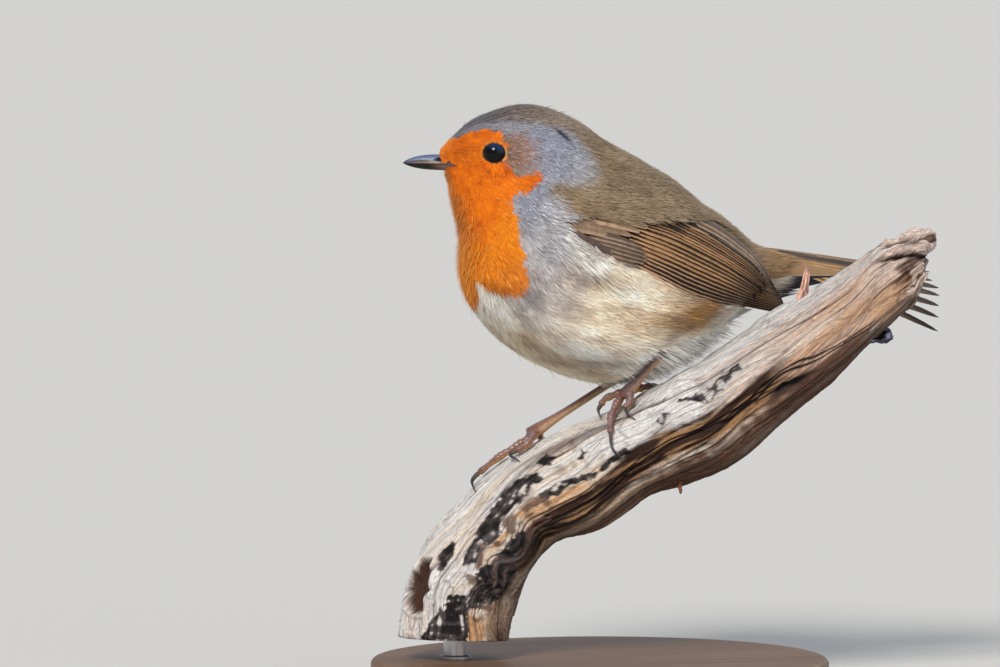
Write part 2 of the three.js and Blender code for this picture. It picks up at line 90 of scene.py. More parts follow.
def ramp(start: float | Array, end: float | Array, value: Array) -> Array:
    """Rises from 0 at start to 1 at end as 3f² - 2f³ of the share f of the way."""
    f = np.clip((value - start) / (end - start), 0, 1)
    return f * f * (3 - 2 * f)


def window(value: Array, start: float, full: float, fades: float, end: float) -> Array:
    """Rises from 0 at start to 1 at full, stays, and falls from fades to 0 at end."""
    return ramp(start, full, value) * ramp(end, fades, value)


def bump(value: Array, middle: float, width: float) -> Array:
    """Bell that is 1 at the middle and falls as exp(-((value - middle) / width)²)."""
    return np.exp(-(((value - middle) / width) ** 2))


def noise(points: Array, seed: int = 0) -> Array:
    """Smooth random field from -1 to 1: lattice values blended by smoothstep on three axes.

    Args:
        points: places of shape (..., 3), one lattice cell being one unit.
        seed: picks the field.

    Returns:
        One value a place.
    """
    base = np.floor(points).astype(np.int64)
    f = points - base
    f = f * f * (3 - 2 * f)
    total = np.zeros(points.shape[:-1])
    for corner in range(8):
        step = np.array([corner & 1, (corner >> 1) & 1, (corner >> 2) & 1])
        cell = (base + step).astype(np.uint64)
        key = cell[..., 0] * np.uint64(73856093) ^ cell[..., 1] * np.uint64(19349663)
        key = key ^ cell[..., 2] * np.uint64(83492791) ^ np.uint64(seed * 2654435761 + 12345)
        key = (key ^ (key >> np.uint64(13))) * np.uint64(1274126177)
        key = (key ^ (key >> np.uint64(16))) & np.uint64(0xFFFFFF)
        weight = np.prod(np.where(step == 1, f, 1 - f), axis=-1)
        total += weight * (key.astype(float) / float(0xFFFFFF) * 2 - 1)
    return total


def layered_noise(points: Array, octaves: int = 3, seed: int = 0) -> Array:
    """Sum of noise fields, each twice as fine and half as strong as the one before."""
    parts = [noise(points * 2.0**k, seed + k) * 0.5**k for k in range(octaves)]
    return sum(parts) / (2 - 0.5 ** (octaves - 1))


def unit(vectors: Array) -> Array:
    """Vectors scaled to length one."""
    return vectors / np.maximum(np.linalg.norm(vectors, axis=-1, keepdims=True), 1e-12)


def mix(one: Array | Triple, other: Array | Triple, share: Array) -> Array:
    """Blend of two colours, or rows of colours, by a share for each row."""
    share = np.asarray(share, float)[..., None]
    return np.asarray(one) * (1 - share) + np.asarray(other) * share


def paint(under: Array | Triple, *coats: tuple[Array | Triple, Array]) -> Array:
    """Colours laid over one another.

    Args:
        under: colour, or rows of colours, at the bottom.
        *coats: pairs of a colour and the share it covers, in order.

    Returns:
        Rows of colours.
    """
    for colour, share in coats:
        under = mix(under, colour, share)
    return under


def palette(owner: object) -> SimpleNamespace:
    """The colours among an object's fields, which are those of three numbers, as arrays."""
    return SimpleNamespace(**{name: np.array(value) for name, value in vars(owner).items()
                              if isinstance(value, tuple) and len(value) == 3
                              and isinstance(value[0], float)})


def off_back(v: Array) -> Array:
    """Degrees from the middle of the back, 0 to 180, the same on both sides."""
    return np.abs((np.degrees(v) + 180) % 360 - 180)


def capped(grid: Array) -> Array:
    """Grid of rows as one list, followed by the middle of its first row and of its last."""
    return np.concatenate([grid.reshape(-1, grid.shape[-1]), grid[:1].mean(1), grid[-1:].mean(1)])


def with_ends(rows: Array) -> Array:
    """A list followed by its own first and last row, as the end points of a tube are."""
    return np.concatenate([rows, rows[:1], rows[-1:]])


def inside(outline: Sequence[Pair], u: Array, v: Array) -> Array:
    """Signed distance to a closed outline, positive inside: nearest of all its edges.

    Args:
        outline: corners in the same units as u and v.
        u, v: places of equal shape.

    Returns:
        Distance to the outline, with the sign from the even-odd rule.
    """
    corners = np.asarray(outline, float)
    nearest = np.full(u.shape, np.inf)
    crossings = np.zeros(u.shape, int)
    for a, b in zip(corners, np.roll(corners, -1, axis=0)):
        edge = b - a
        share = np.clip(((u - a[0]) * edge[0] + (v - a[1]) * edge[1]) / (edge @ edge + 1e-12), 0, 1)
        away = np.hypot(u - a[0] - share * edge[0], v - a[1] - share * edge[1])
        nearest = np.minimum(nearest, away)
        spans = (a[1] > v) != (b[1] > v)
        rise = edge[1] if abs(edge[1]) > 1e-12 else 1e-12
        crossings += spans & (u < a[0] + (v - a[1]) / rise * edge[0])
    return np.where(crossings % 2 == 1, nearest, -nearest)


# ---- mesh building ---------------------------------------------------------------------


@dataclass
class Patchwork:
    """Points, faces, colours and patch places that grow into one mesh."""

    points: list[Array] = field(default_factory=list)
    faces: list[Array] = field(default_factory=list)
    tints: list[Array] = field(default_factory=list)
    places: list[Array] = field(default_factory=list)
    normals: list[Array] = field(default_factory=list)
    grain: Array | None = None
    count: int = 0

    def add(self, points: Array, faces: Sequence[Array], tint: Array, place: Array | None = None,
            normal: Array | None = None) -> None:
        """Adds one closed shape, or many alike.

        Args:
            points: corner places in millimetres, shape (n, 3).
            faces: arrays of corner numbers, one row a face.
            tint: colours of shape (n, 3) or (3,).
            place: where each corner lies on the unwrap, shape (n, 2).
            normal: shading direction of each corner, where it isn't the mesh's own.
        """
        if normal is not None:
            self.normals.append(normal)
        self.points.append(points)
        self.faces.extend(np.asarray(block, int) + self.count for block in faces)
        self.tints.append(np.broadcast_to(tint, points.shape))
        self.places.append(np.zeros((len(points), 2)) if place is None else place)
        self.count += len(points)

    def build(self, name: str, material: Material, patches: bool = False,
              smooth: bool = True) -> Piece:
        """Makes the piece, with the colours as the attribute "tint".

        Args:
            name: the piece's name.
            material: its finish.
            patches: whether the unwrap places become the UV map OFBake.
            smooth: whether faces are shaded smooth.

        Returns:
            The new object, at the origin and linked to the scene.
        """
        points = np.concatenate(self.points) * MM
        tints = np.clip(np.concatenate(self.tints), 0, 1)
        corners = np.concatenate([block.ravel() for block in self.faces])
        sizes = np.concatenate([np.full(len(block), block.shape[1]) for block in self.faces])
        mesh = bpy.data.meshes.new(name)
        mesh.vertices.add(len(points))
        mesh.vertices.foreach_set("co", points.astype(np.float32).ravel())
        mesh.loops.add(len(corners))
        mesh.loops.foreach_set("vertex_index", corners.astype(np.int32))
        mesh.polygons.add(len(sizes))
        starts = np.concatenate([[0], np.cumsum(sizes)[:-1]])
        mesh.polygons.foreach_set("loop_start", starts.astype(np.int32))
        mesh.polygons.foreach_set("loop_total", sizes.astype(np.int32))
        mesh.polygons.foreach_set("use_smooth", np.full(len(sizes), smooth))
        tint = mesh.attributes.new("tint", "FLOAT_COLOR", "POINT")
        opaque = np.column_stack([tints, np.ones(len(tints))])
        tint.data.foreach_set("color", opaque.astype(np.float32).ravel())
        if patches:
            places = np.clip(np.concatenate(self.places), 0.002, 0.998)[corners]
            layer = mesh.uv_layers.new(name="OFBake")
            layer.data.foreach_set("uv", places.astype(np.float32).ravel())
        if self.grain is not None:
            grain = mesh.attributes.new("grain", "FLOAT_VECTOR", "POINT")
            grain.data.foreach_set("vector", self.grain.astype(np.float32).ravel())
        mesh.update(calc_edges=True)
        mesh.validate()
        if self.normals:
            mesh.normals_split_custom_set_from_vertices(np.concatenate(self.normals).tolist())
        piece = bpy.data.objects.new(name, mesh)
        bpy.context.scene.collection.objects.link(piece)
        mesh.materials.append(material)
        triangles = int((sizes - 2).sum())
        log.info("%s: %d points, %d triangles", name, len(points), triangles)
        return piece


def grid_faces(rows: int, columns: int, wrap: bool = False, start: int = 0) -> Array:
    """Quads of a grid of points numbered row by row; `wrap` joins the last column to the first.

    Args:
        rows: how many rows of points.
        columns: how many points a row.
        wrap: whether the last column joins the first.
        start: number of the grid's first point.

    Returns:
        Quads, one row a face.
    """
    r, c = np.meshgrid(np.arange(rows - 1), np.arange(columns if wrap else columns - 1),
                       indexing="ij")
    a = r * columns + c
    b = r * columns + (c + 1) % columns
    return np.stack([a, b, b + columns, a + columns], -1).reshape(-1, 4) + start


def tube_faces(rows: int, columns: int) -> list[Array]:
    """Faces of a closed tube: the grid wrapped round, and a fan to an end point at each end.

    The first end's point is numbered rows * columns and the last end's one more.

    Args:
        rows: how many rows of points.
        columns: how many points a row.

    Returns:
        The quads, the first fan and the last fan.
    """
    ring = np.arange(columns)
    after = (ring + 1) % columns
    last = (rows - 1) * columns
    first_fan = np.stack([np.full(columns, rows * columns), after, ring], -1)
    last_fan = np.stack([np.full(columns, rows * columns + 1), last + ring, last + after], -1)
    return [grid_faces(rows, columns, wrap=True), first_fan, last_fan]


def slab_faces(rows: int, columns: int) -> Array:
    """Quads of a closed slab: one grid over another, joined by a skirt round their rims.

    Args:
        rows: how many rows of points.
        columns: how many points a row.

    Returns:
        Quads, one row a face.
    """
    rim = np.concatenate([np.arange(columns), np.arange(1, rows) * columns + columns - 1,
                          (rows - 1) * columns + np.arange(columns - 2, -1, -1),
                          np.arange(rows - 2, 0, -1) * columns])
    after = np.roll(rim, -1)
    skirt = np.stack([rim, rim + rows * columns, after + rows * columns, after], -1)
    return np.concatenate([grid_faces(rows, columns),
                           grid_faces(rows, columns, start=rows * columns)[:, ::-1], skirt])


def repeat_faces(faces: Sequence[Array], points_each: int, copies: int) -> list[Array]:
    """The same faces for each of many shapes that follow one another in the point list."""
    shift = (np.arange(copies) * points_each)[:, None, None]
    return [(block[None] + shift).reshape(-1, block.shape[1]) for block in faces]


def outward(points: Array, faces: Sequence[Array]) -> list[Array]:
    """Turns every face round if the closed shape's signed volume comes out negative.

    Args:
        points: places in millimetres, shape (n, 3).
        faces: arrays of corner numbers, one row a face.

    Returns:
        The faces, all turned or all as they were.
    """
    volume = 0.0
    for block in faces:
        for k in range(1, block.shape[1] - 1):
            a, b, c = points[block[:, 0]], points[block[:, k]], points[block[:, k + 1]]
            volume += float(np.einsum("ij,ij->", a, np.cross(b, c)))
    return [block[:, ::-1] for block in faces] if volume < 0 else list(faces)


def tube(centre: Array, side: Array, up: Array, wide: Array,
         deep: Array) -> tuple[Array, list[Array]]:
    """Closed tube round a line: each ring is centre + side·wide·cos a + up·deep·sin a.

    Args:
        centre: points along the line, shape (rows, 3).
        side, up: unit directions across the line, shape (rows, 3).
        wide, deep: radii of shape (rows,) or (rows, columns).

    Returns:
        The points, the two end points last, and the faces, turned outwards.
    """
    wide = np.atleast_2d(wide.T).T
    deep = np.atleast_2d(deep.T).T
    columns = max(wide.shape[1], deep.shape[1], 2)
    angle = np.arange(columns) * TAU / columns
    ring = (centre[:, None] + side[:, None] * (wide * np.cos(angle))[..., None]
            + up[:, None] * (deep * np.sin(angle))[..., None])
    points = capped(ring)
    return points, outward(points, tube_faces(len(centre), columns))


def frames_along(line: Array, first_up: Sequence[float]) -> tuple[Array, Array, Array]:
    """Directions along a line: tangent, side and up, with `up` kept near a fixed direction.

    Side is up x tangent made unit, and up is then tangent x side.

    Args:
        line: points along the line, shape (rows, 3).
        first_up: direction that up is kept near.

    Returns:
        Tangents, sides and ups, each of shape (rows, 3).
    """
    tangent = unit(np.gradient(line, axis=0))
    side = unit(np.cross(np.asarray(first_up, float), tangent))
    return tangent, side, np.cross(tangent, side)


# ---- finishes --------------------------------------------------------------------------


class Slot(enum.Enum):
    """Names of the model's material slots."""

    PLUMAGE = "plumage"
    BILL = "bill"
    EYE = "eye"
    SCALES = "leg_scales"
    CLAW = "claw"
    BRANCH = "weathered_wood"
    BASE = "stand_wood"
    ROD = "stand_rod"


def shader_node(tree: Tree, kind: str, values: dict[str, object] | None = None,
                **settings: object) -> Node:
    """Adds a shader node.

    Args:
        tree: the material's node tree.
        kind: the node's class name after "ShaderNode".
        values: unlinked inputs by name.
        **settings: the node's own settings.

    Returns:
        The new node.
    """
    node = tree.nodes.new("ShaderNode" + kind)
    for key, value in settings.items():
        setattr(node, key, value)
    for key, value in (values or {}).items():
        node.inputs[key].default_value = value
    return node


def blank(name: str, values: dict[str, object]) -> tuple[Material, Tree, Node]:
    """New material, its node tree and its shader node with the given input values.

    Args:
        name: the name.
        values: inputs of its shader node by name.

    Returns:
        The material, its node tree and its shader node.
    """
    material = bpy.data.materials.new(name)
    material.use_nodes = True
    shader = material.node_tree.nodes["Principled BSDF"]
    for key, value in values.items():
        shader.inputs[key].default_value = value
    return material, material.node_tree, shader


def span(low: float, high: float, ends: Pair) -> dict[str, object]:
    """Inputs of a Map Range node that draws low..high out to the ends."""
    return {"From Min": low, "From Max": high, "To Min": ends[0], "To Max": ends[1]}


def dress(tree: Tree, shader: Node, shade: Socket,
          height: Socket, strength: float, distance: float) -> None:
    """Gives a shader the attribute "tint" times a shade as colour, and a height as relief.

    Args:
        tree: the material's node tree.
        shader: its shader node.
        shade: factor of the colour.
        height: field of the relief.
        strength: strength of the relief, none at 0.
        distance: height of the relief in metres.
    """
    tint = shader_node(tree, "Attribute", attribute_name="tint")
    painted = shader_node(tree, "VectorMath", operation="SCALE")
    tree.links.new(tint.outputs["Color"], painted.inputs[0])
    tree.links.new(shade, painted.inputs["Scale"])
    tree.links.new(painted.outputs["Vector"], shader.inputs["Base Color"])
    if strength > 0:
        relief = shader_node(tree, "Bump", {"Strength": strength, "Distance": distance})
        tree.links.new(height, relief.inputs["Height"])
        tree.links.new(relief.outputs["Normal"], shader.inputs["Normal"])


@dataclass(frozen=True)
class Finish:
    """Surface whose colour is the attribute "tint", broken up by fine noise and bump."""

    name: str
    roughness: float = 0.8
    specular: float = 0.3
    coat: float = 0.0
    sheen: float = 0.0
    grain: Triple = (900.0, 900.0, 900.0)
    grain_strength: float = 0.0
    bump: float = 0.0
    metallic: float = 0.0
    coat_roughness: float = 0.05
    relief: float = 0.0002

    def build(self) -> Material:
        """Makes the material: tint x (1 ± grain) as base colour, the same grain as bump.

        Returns:
            The new material.
        """
        material, tree, shader = blank(self.name, {
            "Roughness": self.roughness, "Metallic": self.metallic,
            "Specular IOR Level": self.specular,
            "Coat Weight": self.coat, "Coat Roughness": self.coat_roughness,
            "Sheen Weight": self.sheen})
        if self.grain_strength == 0 and self.bump == 0:
            tint = shader_node(tree, "Attribute", attribute_name="tint")
            tree.links.new(tint.outputs["Color"], shader.inputs["Base Color"])
            return material
        stretch = shader_node(tree, "Mapping", {"Scale": self.grain})
        field_ = shader_node(tree, "TexNoise", {"Scale": 1.0, "Detail": 4.0})
        gain = shader_node(tree, "MapRange",
                           span(0.3, 0.7, (1 - self.grain_strength, 1 + self.grain_strength)))
        tree.links.new(shader_node(tree, "TexCoord").outputs["Object"], stretch.inputs["Vector"])
        tree.links.new(stretch.outputs["Vector"], field_.inputs["Vector"])
        tree.links.new(field_.outputs["Fac"], gain.inputs["Value"])
        dress(tree, shader, gain.outputs["Result"], field_.outputs["Fac"], self.bump, self.relief)
        return material


@dataclass(frozen=True)
class Wood:
    """Weathered wood: fibres, cracks and dark specks that follow the attribute "grain",
    which holds millimetres round the branch and, shortened, along it."""

    name: str = "branch"
    roughness: float = 0.74
    specular: float = 0.3
    fibre: float = 0.28
    crack_tone: float = 0.5
    bump: float = 0.9
    relief: float = 0.0006

    def build(self) -> Material:
        """Makes the material: tint x fibres x cracks x specks, the same fields as bump.

        Returns:
            The new material.
        """
        material, tree, shader = blank(self.name, {
            "Roughness": self.roughness, "Specular IOR Level": self.specular})
        grain = shader_node(tree, "Attribute", attribute_name="grain")

        def drawn(kind: str, scale: float, low: float, high: float, ends: Pair) -> Node:
            """A texture on the grain whose values low..high are drawn out to `ends`.

            Args:
                kind: Noise or Voronoi.
                scale: cells a grain unit.
                low: value drawn to the first end.
                high: value drawn to the second end.
                ends: the values given out.

            Returns:
                The node that gives the values.
            """
            if kind == "Voronoi":
                texture = shader_node(tree, "TexVoronoi", {"Scale": scale},
                                      feature="DISTANCE_TO_EDGE")
            else:
                texture = shader_node(tree, "TexNoise",
                                      {"Scale": scale, "Detail": 3.0, "Distortion": 0.4})
            spread = shader_node(tree, "MapRange", span(low, high, ends))
            tree.links.new(grain.outputs["Vector"], texture.inputs["Vector"])
            tree.links.new(texture.outputs["Distance" if kind == "Voronoi" else "Fac"],
                           spread.inputs["Value"])
            return spread

        def combine(operation: str, one: Node, other: Node) -> Node:
            """Arithmetic on two fields.

            Args:
                operation: the Math node's operation.
                one: node of the first field.
                other: node of the second.

            Returns:
                The node that gives the result.
            """
            node = shader_node(tree, "Math", operation=operation)
            tree.links.new(one.outputs[0], node.inputs[0])
            tree.links.new(other.outputs[0], node.inputs[1])
            return node

        fibres = combine("MULTIPLY",
                         drawn("Noise", 2.6, 0.3, 0.7, (1 - self.fibre, 1 + 0.6 * self.fibre)),
                         drawn("Noise", 8.0, 0.3, 0.7, (1 - self.fibre, 1 + 0.8 * self.fibre)))
        cracks = combine("MAXIMUM", drawn("Voronoi", 0.55, 0.0, 0.05, (self.crack_tone, 1.0)),
                         drawn("Noise", 0.33, 0.52, 0.58, (0.0, 1.0)))
        specks = drawn("Noise", 3.5, 0.27, 0.32, (0.3, 1.0))
        shade = combine("MULTIPLY", combine("MULTIPLY", fibres, cracks), specks).outputs[0]
        dress(tree, shader, shade, shade, self.bump, self.relief)
        return material


@dataclass(frozen=True)
class Finishes:
    """All finishes of the model."""

    plumage: Material = field(default_factory=Finish("plumage", 0.72, 0.18, sheen=0.08).build)
    vane: Material = field(default_factory=Finish(
        "vane", 0.58, 0.22, grain=(2600, 2600, 2600), grain_strength=0.12, bump=0.1).build)
    horn: Material = field(default_factory=Finish(
        "horn", 0.42, 0.32, coat=0.08, grain=(900, 2500, 2500), grain_strength=0.12,
        bump=0.12).build)
    eye: Material = field(default_factory=Finish("eye", 0.03, 0.22).build)
    lid: Material = field(default_factory=Finish("lid", 0.45, 0.4).build)
    scales: Material = field(default_factory=Finish(
        "scales", 0.3, 0.55, coat=0.15, grain=(1800, 1800, 1800), grain_strength=0.22,
        bump=0.25).build)
    claw: Material = field(default_factory=Finish("claw", 0.28, 0.5, coat=0.3).build)
    branch: Material = field(default_factory=Wood().build)
    twig: Material = field(default_factory=Finish(
        "twig", 0.75, 0.25, grain=(1600, 1600, 1600), grain_strength=0.3, bump=0.6).build)
    base: Material = field(default_factory=Finish(
        "base_wood", 0.42, 0.4, grain=(22, 420, 420), grain_strength=0.36, bump=0.06).build)
    rod: Material = field(default_factory=Finish(
        "rod_steel", 0.3, 0.5, grain=(200, 200, 6000), grain_strength=0.08, bump=0.05,
        metallic=1.0).build)


def settle(piece: Piece, slot: Slot, *nodes: str) -> Piece:
    """Rides a piece on the model's one body and hides the solids it stands for.

    Args:
        piece: the finished piece.
        slot: its material slot; not used.
        *nodes: solids that it replaces.

    Returns:
        The same piece.
    """
    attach(piece, "root")
    if nodes:
        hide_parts(*nodes)
    return piece


# ---- body surface ----------------------------------------------------------------------


@dataclass(frozen=True)
class Body:
    """The plumage's outer surface as rings from the bill's root to the tail coverts.

    Each ring: top x, top z, bottom x, bottom z, half width, narrowing of its lower half.
    """

    rings: tuple[tuple[float, ...], ...] = (
        (-40.0, 130.9, -38.6, 126.6, 2.4, 0.0), (-36.0, 135.2, -37.4, 123.6, 5.2, 0.0),
        (-31.0, 139.3, -36.7, 119.4, 7.9, 0.0), (-21.4, 142.5, -35.3, 113.8, 10.2, 0.05),
        (-13.5, 141.9, -34.5, 109.2, 12.3, 0.05), (-5.5, 138.4, -34.8, 103.6, 15.2, 0.05),
        (0.7, 134.0, -34.5, 98.4, 18.6, 0.0), (10.3, 128.8, -31.4, 91.8, 22.0, 0.0),
        (18.5, 124.0, -24.5, 84.5, 24.2, 0.0), (25.6, 118.0, -13.3, 77.9, 24.8, 0.0),
        (31.3, 112.8, 0.0, 74.3, 23.4, 0.1), (35.6, 109.0, 12.4, 77.4, 20.0, 0.28),
        (39.0, 107.2, 23.6, 83.0, 15.5, 0.3), (43.0, 106.2, 32.6, 88.6, 11.2, 0.2),
        (50.0, 104.6, 44.0, 93.6, 7.4, 0.0), (62.0, 102.0, 60.0, 97.0, 4.6, 0.0))
    head_turn: float = -18.0
    neck_axis: float = -10.5
    turn_fades: Pair = (3.2, 8.0)
    last: float = 14.95

    def turned(self, points: Array, u: Array | float) -> Array:
        """Turns points about the neck's upright axis by the head's turn, which fades along u.

        Args:
            points: places in millimetres, shape (n, 3).
            u: ring numbers.

        Returns:
            The turned points.
        """
        angle = math.radians(self.head_turn) * (1 - ramp(*self.turn_fades, np.asarray(u, float)))
        c, s = np.cos(angle), np.sin(angle)
        dx, y = points[..., 0] - self.neck_axis, points[..., 1]
        return np.stack([self.neck_axis + dx * c - y * s, dx * s + y * c, points[..., 2]], -1)

    def level(self, u: Array, v: Array) -> Array:
        """Surface point before the head's turn: the ring's middle plus its reach times cos v,
        and the half width times sin v, narrowed below by the ring's keel.

        Args:
            u: ring numbers.
            v: angles round the body in radians, 0 on the back.

        Returns:
            Points of shape (..., 3).
        """
        ring = spline(self.rings, u)
        c, s = np.cos(v), np.sin(v)
        x = (ring[..., 0] + ring[..., 2]) / 2 + (ring[..., 0] - ring[..., 2]) / 2 * c
        z = (ring[..., 1] + ring[..., 3]) / 2 + (ring[..., 1] - ring[..., 3]) / 2 * c
        return np.stack([x, -ring[..., 4] * s * (1 + ring[..., 5] * c), z], -1)

    def at(self, u: Array, v: Array) -> Array:
        """Surface point at ring u and angle v, 0 on the back and +90° on the left side."""
        return self.turned(self.level(u, v), u)

    def slopes(self, u: Array, v: Array) -> tuple[Array, Array, Array]:
        """Change of the point with u and with v, and the outward normal, by differences.

        Args:
            u: ring numbers.
            v: angles round the body in radians, 0 on the back.

        Returns:
            Slope along u, slope along v and unit normal, each of shape (..., 3).
        """
        step = 1e-3
        by_u = (self.at(u + step, v) - self.at(u - step, v)) / (2 * step)
        by_v = (self.at(u, v + step) - self.at(u, v - step)) / (2 * step)
        return by_u, by_v, unit(np.cross(by_v, by_u))

    def half_width(self, x: Array, z: Array, first: float, end: float) -> Array:
        """Half width where the side view shows (x, z): the ring through the point is found by
        halving, and its width there is half·√(1-c²)·(1+keel·c).

        Args:
            x: places along the bird in millimetres.
            z: heights in millimetres.
            first: ring the search starts at.
            end: ring it ends at.

        Returns:
            Half widths in millimetres.
        """
        low, high = np.full(x.shape, first), np.full(x.shape, end)
        for _ in range(30):
            u = (low + high) / 2
            r = spline(self.rings, u)
            across_x, across_z = r[..., 0] - r[..., 2], r[..., 1] - r[..., 3]
            ahead = across_x * (z - r[..., 3]) - across_z * (x - r[..., 2])
            low, high = np.where(ahead < 0, u, low), np.where(ahead < 0, high, u)
        r = spline(self.rings, low)
        middle = (r[..., 0:2] + r[..., 2:4]) / 2
        reach = r[..., 0:2] - middle
        share = ((x - middle[..., 0]) * reach[..., 0] + (z - middle[..., 1]) * reach[..., 1])
        c = np.clip(share / (reach**2).sum(-1), -0.97, 0.97)
        return r[..., 4] * np.sqrt(1 - c * c) * (1 + r[..., 5] * c)

    def head_point(self, x: Array | float, y: Array | float, z: Array | float) -> Array:
        """A point of the head, turned with it."""
        return self.turned(np.stack(np.broadcast_arrays(x, y, z), -1).astype(float), 0.0)

    def unwrap(self, u: Array, v: Array) -> Array:
        """Place on the unwrap: round the body across, from bill to tail upwards."""
        return np.stack([(np.degrees(v) / 360) % 1.0, 0.01 + 0.98 * np.clip(u / 15, 0, 1)], -1)


HEAD_RINGS = (0.0, 4.4)
TRUNK_RINGS = (4.4, 15.0)


# ---- markings --------------------------------------------------------------------------


